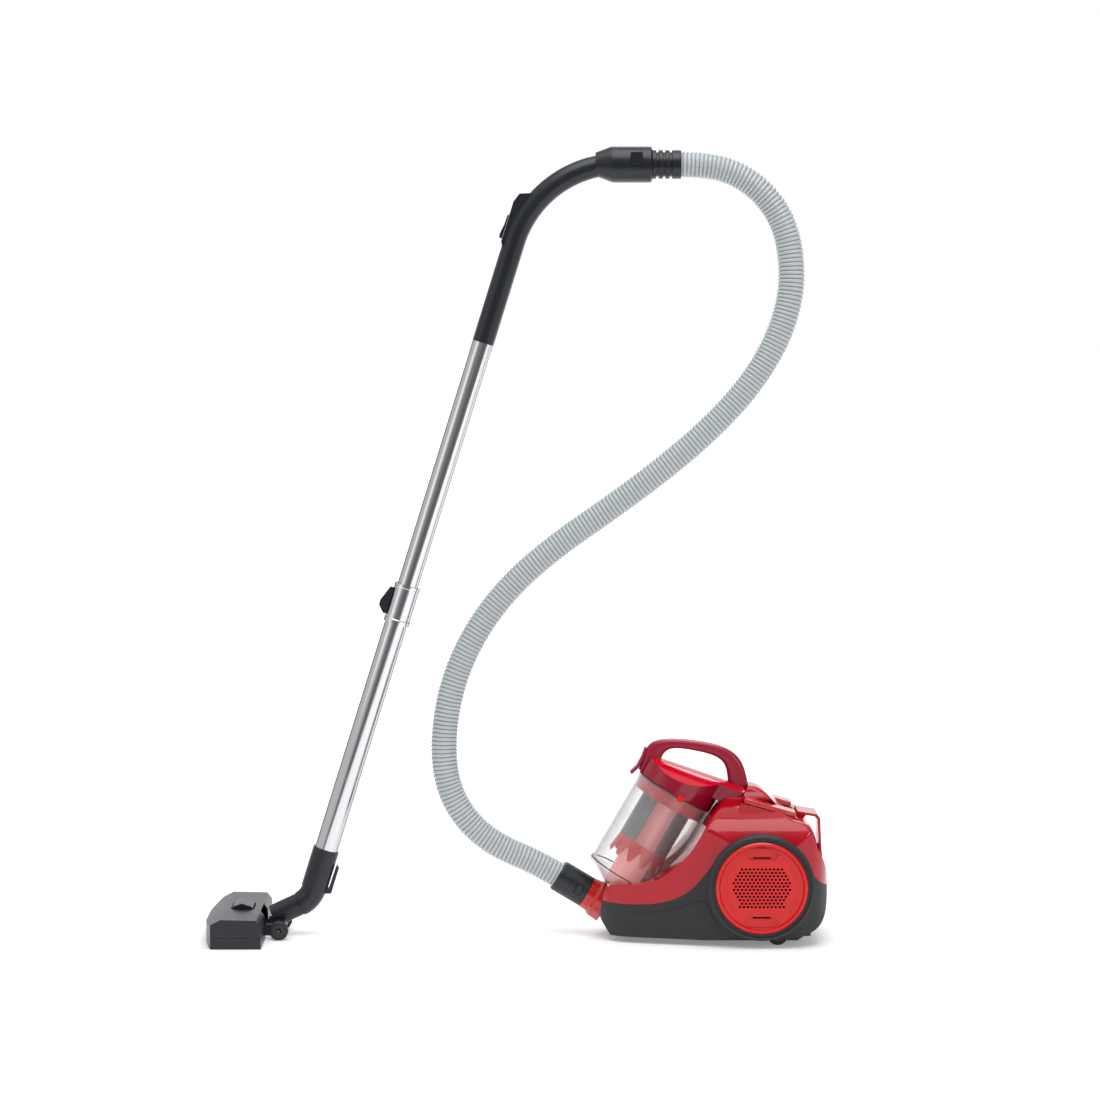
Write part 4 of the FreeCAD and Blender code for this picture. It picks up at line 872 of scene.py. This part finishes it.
class VacuumOperator:
    """What the piece operators share."""

    bl_options = {"REGISTER", "UNDO"}

    def execute(self, context):
        self.make(context.scene.vacuum_sizes, context.scene.vacuum_colours)
        return {"FINISHED"}


class VACUUM_OT_stage(VacuumOperator, bpy.types.Operator):
    """Add the pale floor, the soft lights and the camera"""

    bl_idname = "vacuum.stage"
    bl_label = "Stage"

    def make(self, sizes, colours):
        make_stage()


class VACUUM_OT_hose(VacuumOperator, bpy.types.Operator):
    """Add the ribbed hose along its route"""

    bl_idname = "vacuum.hose"
    bl_label = "Hose"

    def make(self, sizes, colours):
        make_hose(sizes, colours)


class VACUUM_OT_canister(VacuumOperator, bpy.types.Operator):
    """Finish the canister's shell, chassis and fittings"""

    bl_idname = "vacuum.canister"
    bl_label = "Canister"

    def make(self, sizes, colours):
        finish_canister(colours)


class VACUUM_OT_covers(VacuumOperator, bpy.types.Operator):
    """Finish the exhaust covers and their filters"""

    bl_idname = "vacuum.covers"
    bl_label = "Exhaust covers"

    def make(self, sizes, colours):
        finish_covers(colours)


class VACUUM_OT_pedals(VacuumOperator, bpy.types.Operator):
    """Finish both pedals and their springs"""

    bl_idname = "vacuum.pedals"
    bl_label = "Pedals"

    def make(self, sizes, colours):
        finish_pedals(colours)


class VACUUM_OT_bin(VacuumOperator, bpy.types.Operator):
    """Finish the clear bin and the cyclone inside it"""

    bl_idname = "vacuum.bin"
    bl_label = "Dust bin"

    def make(self, sizes, colours):
        finish_bin(colours)


class VACUUM_OT_lid(VacuumOperator, bpy.types.Operator):
    """Finish the lid and add its arched handle"""

    bl_idname = "vacuum.lid"
    bl_label = "Lid and handle"

    def make(self, sizes, colours):
        finish_lid(sizes, colours)


class VACUUM_OT_inner_parts(VacuumOperator, bpy.types.Operator):
    """Finish the motor, the cord reel and the duct"""

    bl_idname = "vacuum.inner_parts"
    bl_label = "Inner parts"

    def make(self, sizes, colours):
        finish_inner_parts(colours)


class VACUUM_OT_wheels(VacuumOperator, bpy.types.Operator):
    """Finish the castor and the wheels"""

    bl_idname = "vacuum.wheels"
    bl_label = "Wheels"

    def make(self, sizes, colours):
        finish_wheels(colours)


class VACUUM_OT_hose_ends(VacuumOperator, bpy.types.Operator):
    """Finish the cuff, its inlet, the grip and its collar"""

    bl_idname = "vacuum.hose_ends"
    bl_label = "Hose ends and grip"

    def make(self, sizes, colours):
        finish_hose_ends(colours)


class VACUUM_OT_wand(VacuumOperator, bpy.types.Operator):
    """Finish the chromed wand tubes"""

    bl_idname = "vacuum.wand"
    bl_label = "Wand"

    def make(self, sizes, colours):
        finish_wand()


class VACUUM_OT_head(VacuumOperator, bpy.types.Operator):
    """Finish the floor head with its neck and elbow"""

    bl_idname = "vacuum.head"
    bl_label = "Floor head"

    def make(self, sizes, colours):
        finish_head(colours)


PIECE_OPERATORS = (VACUUM_OT_stage, VACUUM_OT_hose, VACUUM_OT_canister, VACUUM_OT_covers,
                   VACUUM_OT_pedals, VACUUM_OT_bin, VACUUM_OT_lid, VACUUM_OT_inner_parts,
                   VACUUM_OT_wheels, VACUUM_OT_hose_ends, VACUUM_OT_wand, VACUUM_OT_head)


class VACUUM_PT_panel(bpy.types.Panel):
    """Lists the pieces of the vacuum cleaner"""

    bl_idname = "VACUUM_PT_panel"
    bl_label = "Canister vacuum"
    bl_space_type = "VIEW_3D"
    bl_region_type = "UI"
    bl_category = "Vacuum"

    def draw(self, context):
        for group in (context.scene.vacuum_sizes, context.scene.vacuum_colours):
            for word in group.__annotations__:
                self.layout.prop(group, word)
        for operator in PIECE_OPERATORS:
            self.layout.operator(operator.bl_idname)


CLASSES = (VacuumSizes, VacuumColours, *PIECE_OPERATORS, VACUUM_PT_panel)


def register():
    for item in CLASSES:
        bpy.utils.register_class(item)
    bpy.types.Scene.vacuum_sizes = bpy.props.PointerProperty(type=VacuumSizes)
    bpy.types.Scene.vacuum_colours = bpy.props.PointerProperty(type=VacuumColours)


def unregister():
    del bpy.types.Scene.vacuum_sizes, bpy.types.Scene.vacuum_colours
    for item in reversed(CLASSES):
        bpy.utils.unregister_class(item)


def main():
    register()
    for operator in PIECE_OPERATORS:
        group, name = operator.bl_idname.split(".")
        getattr(getattr(bpy.ops, group), name)()


if __name__ == "__main__":
    main()
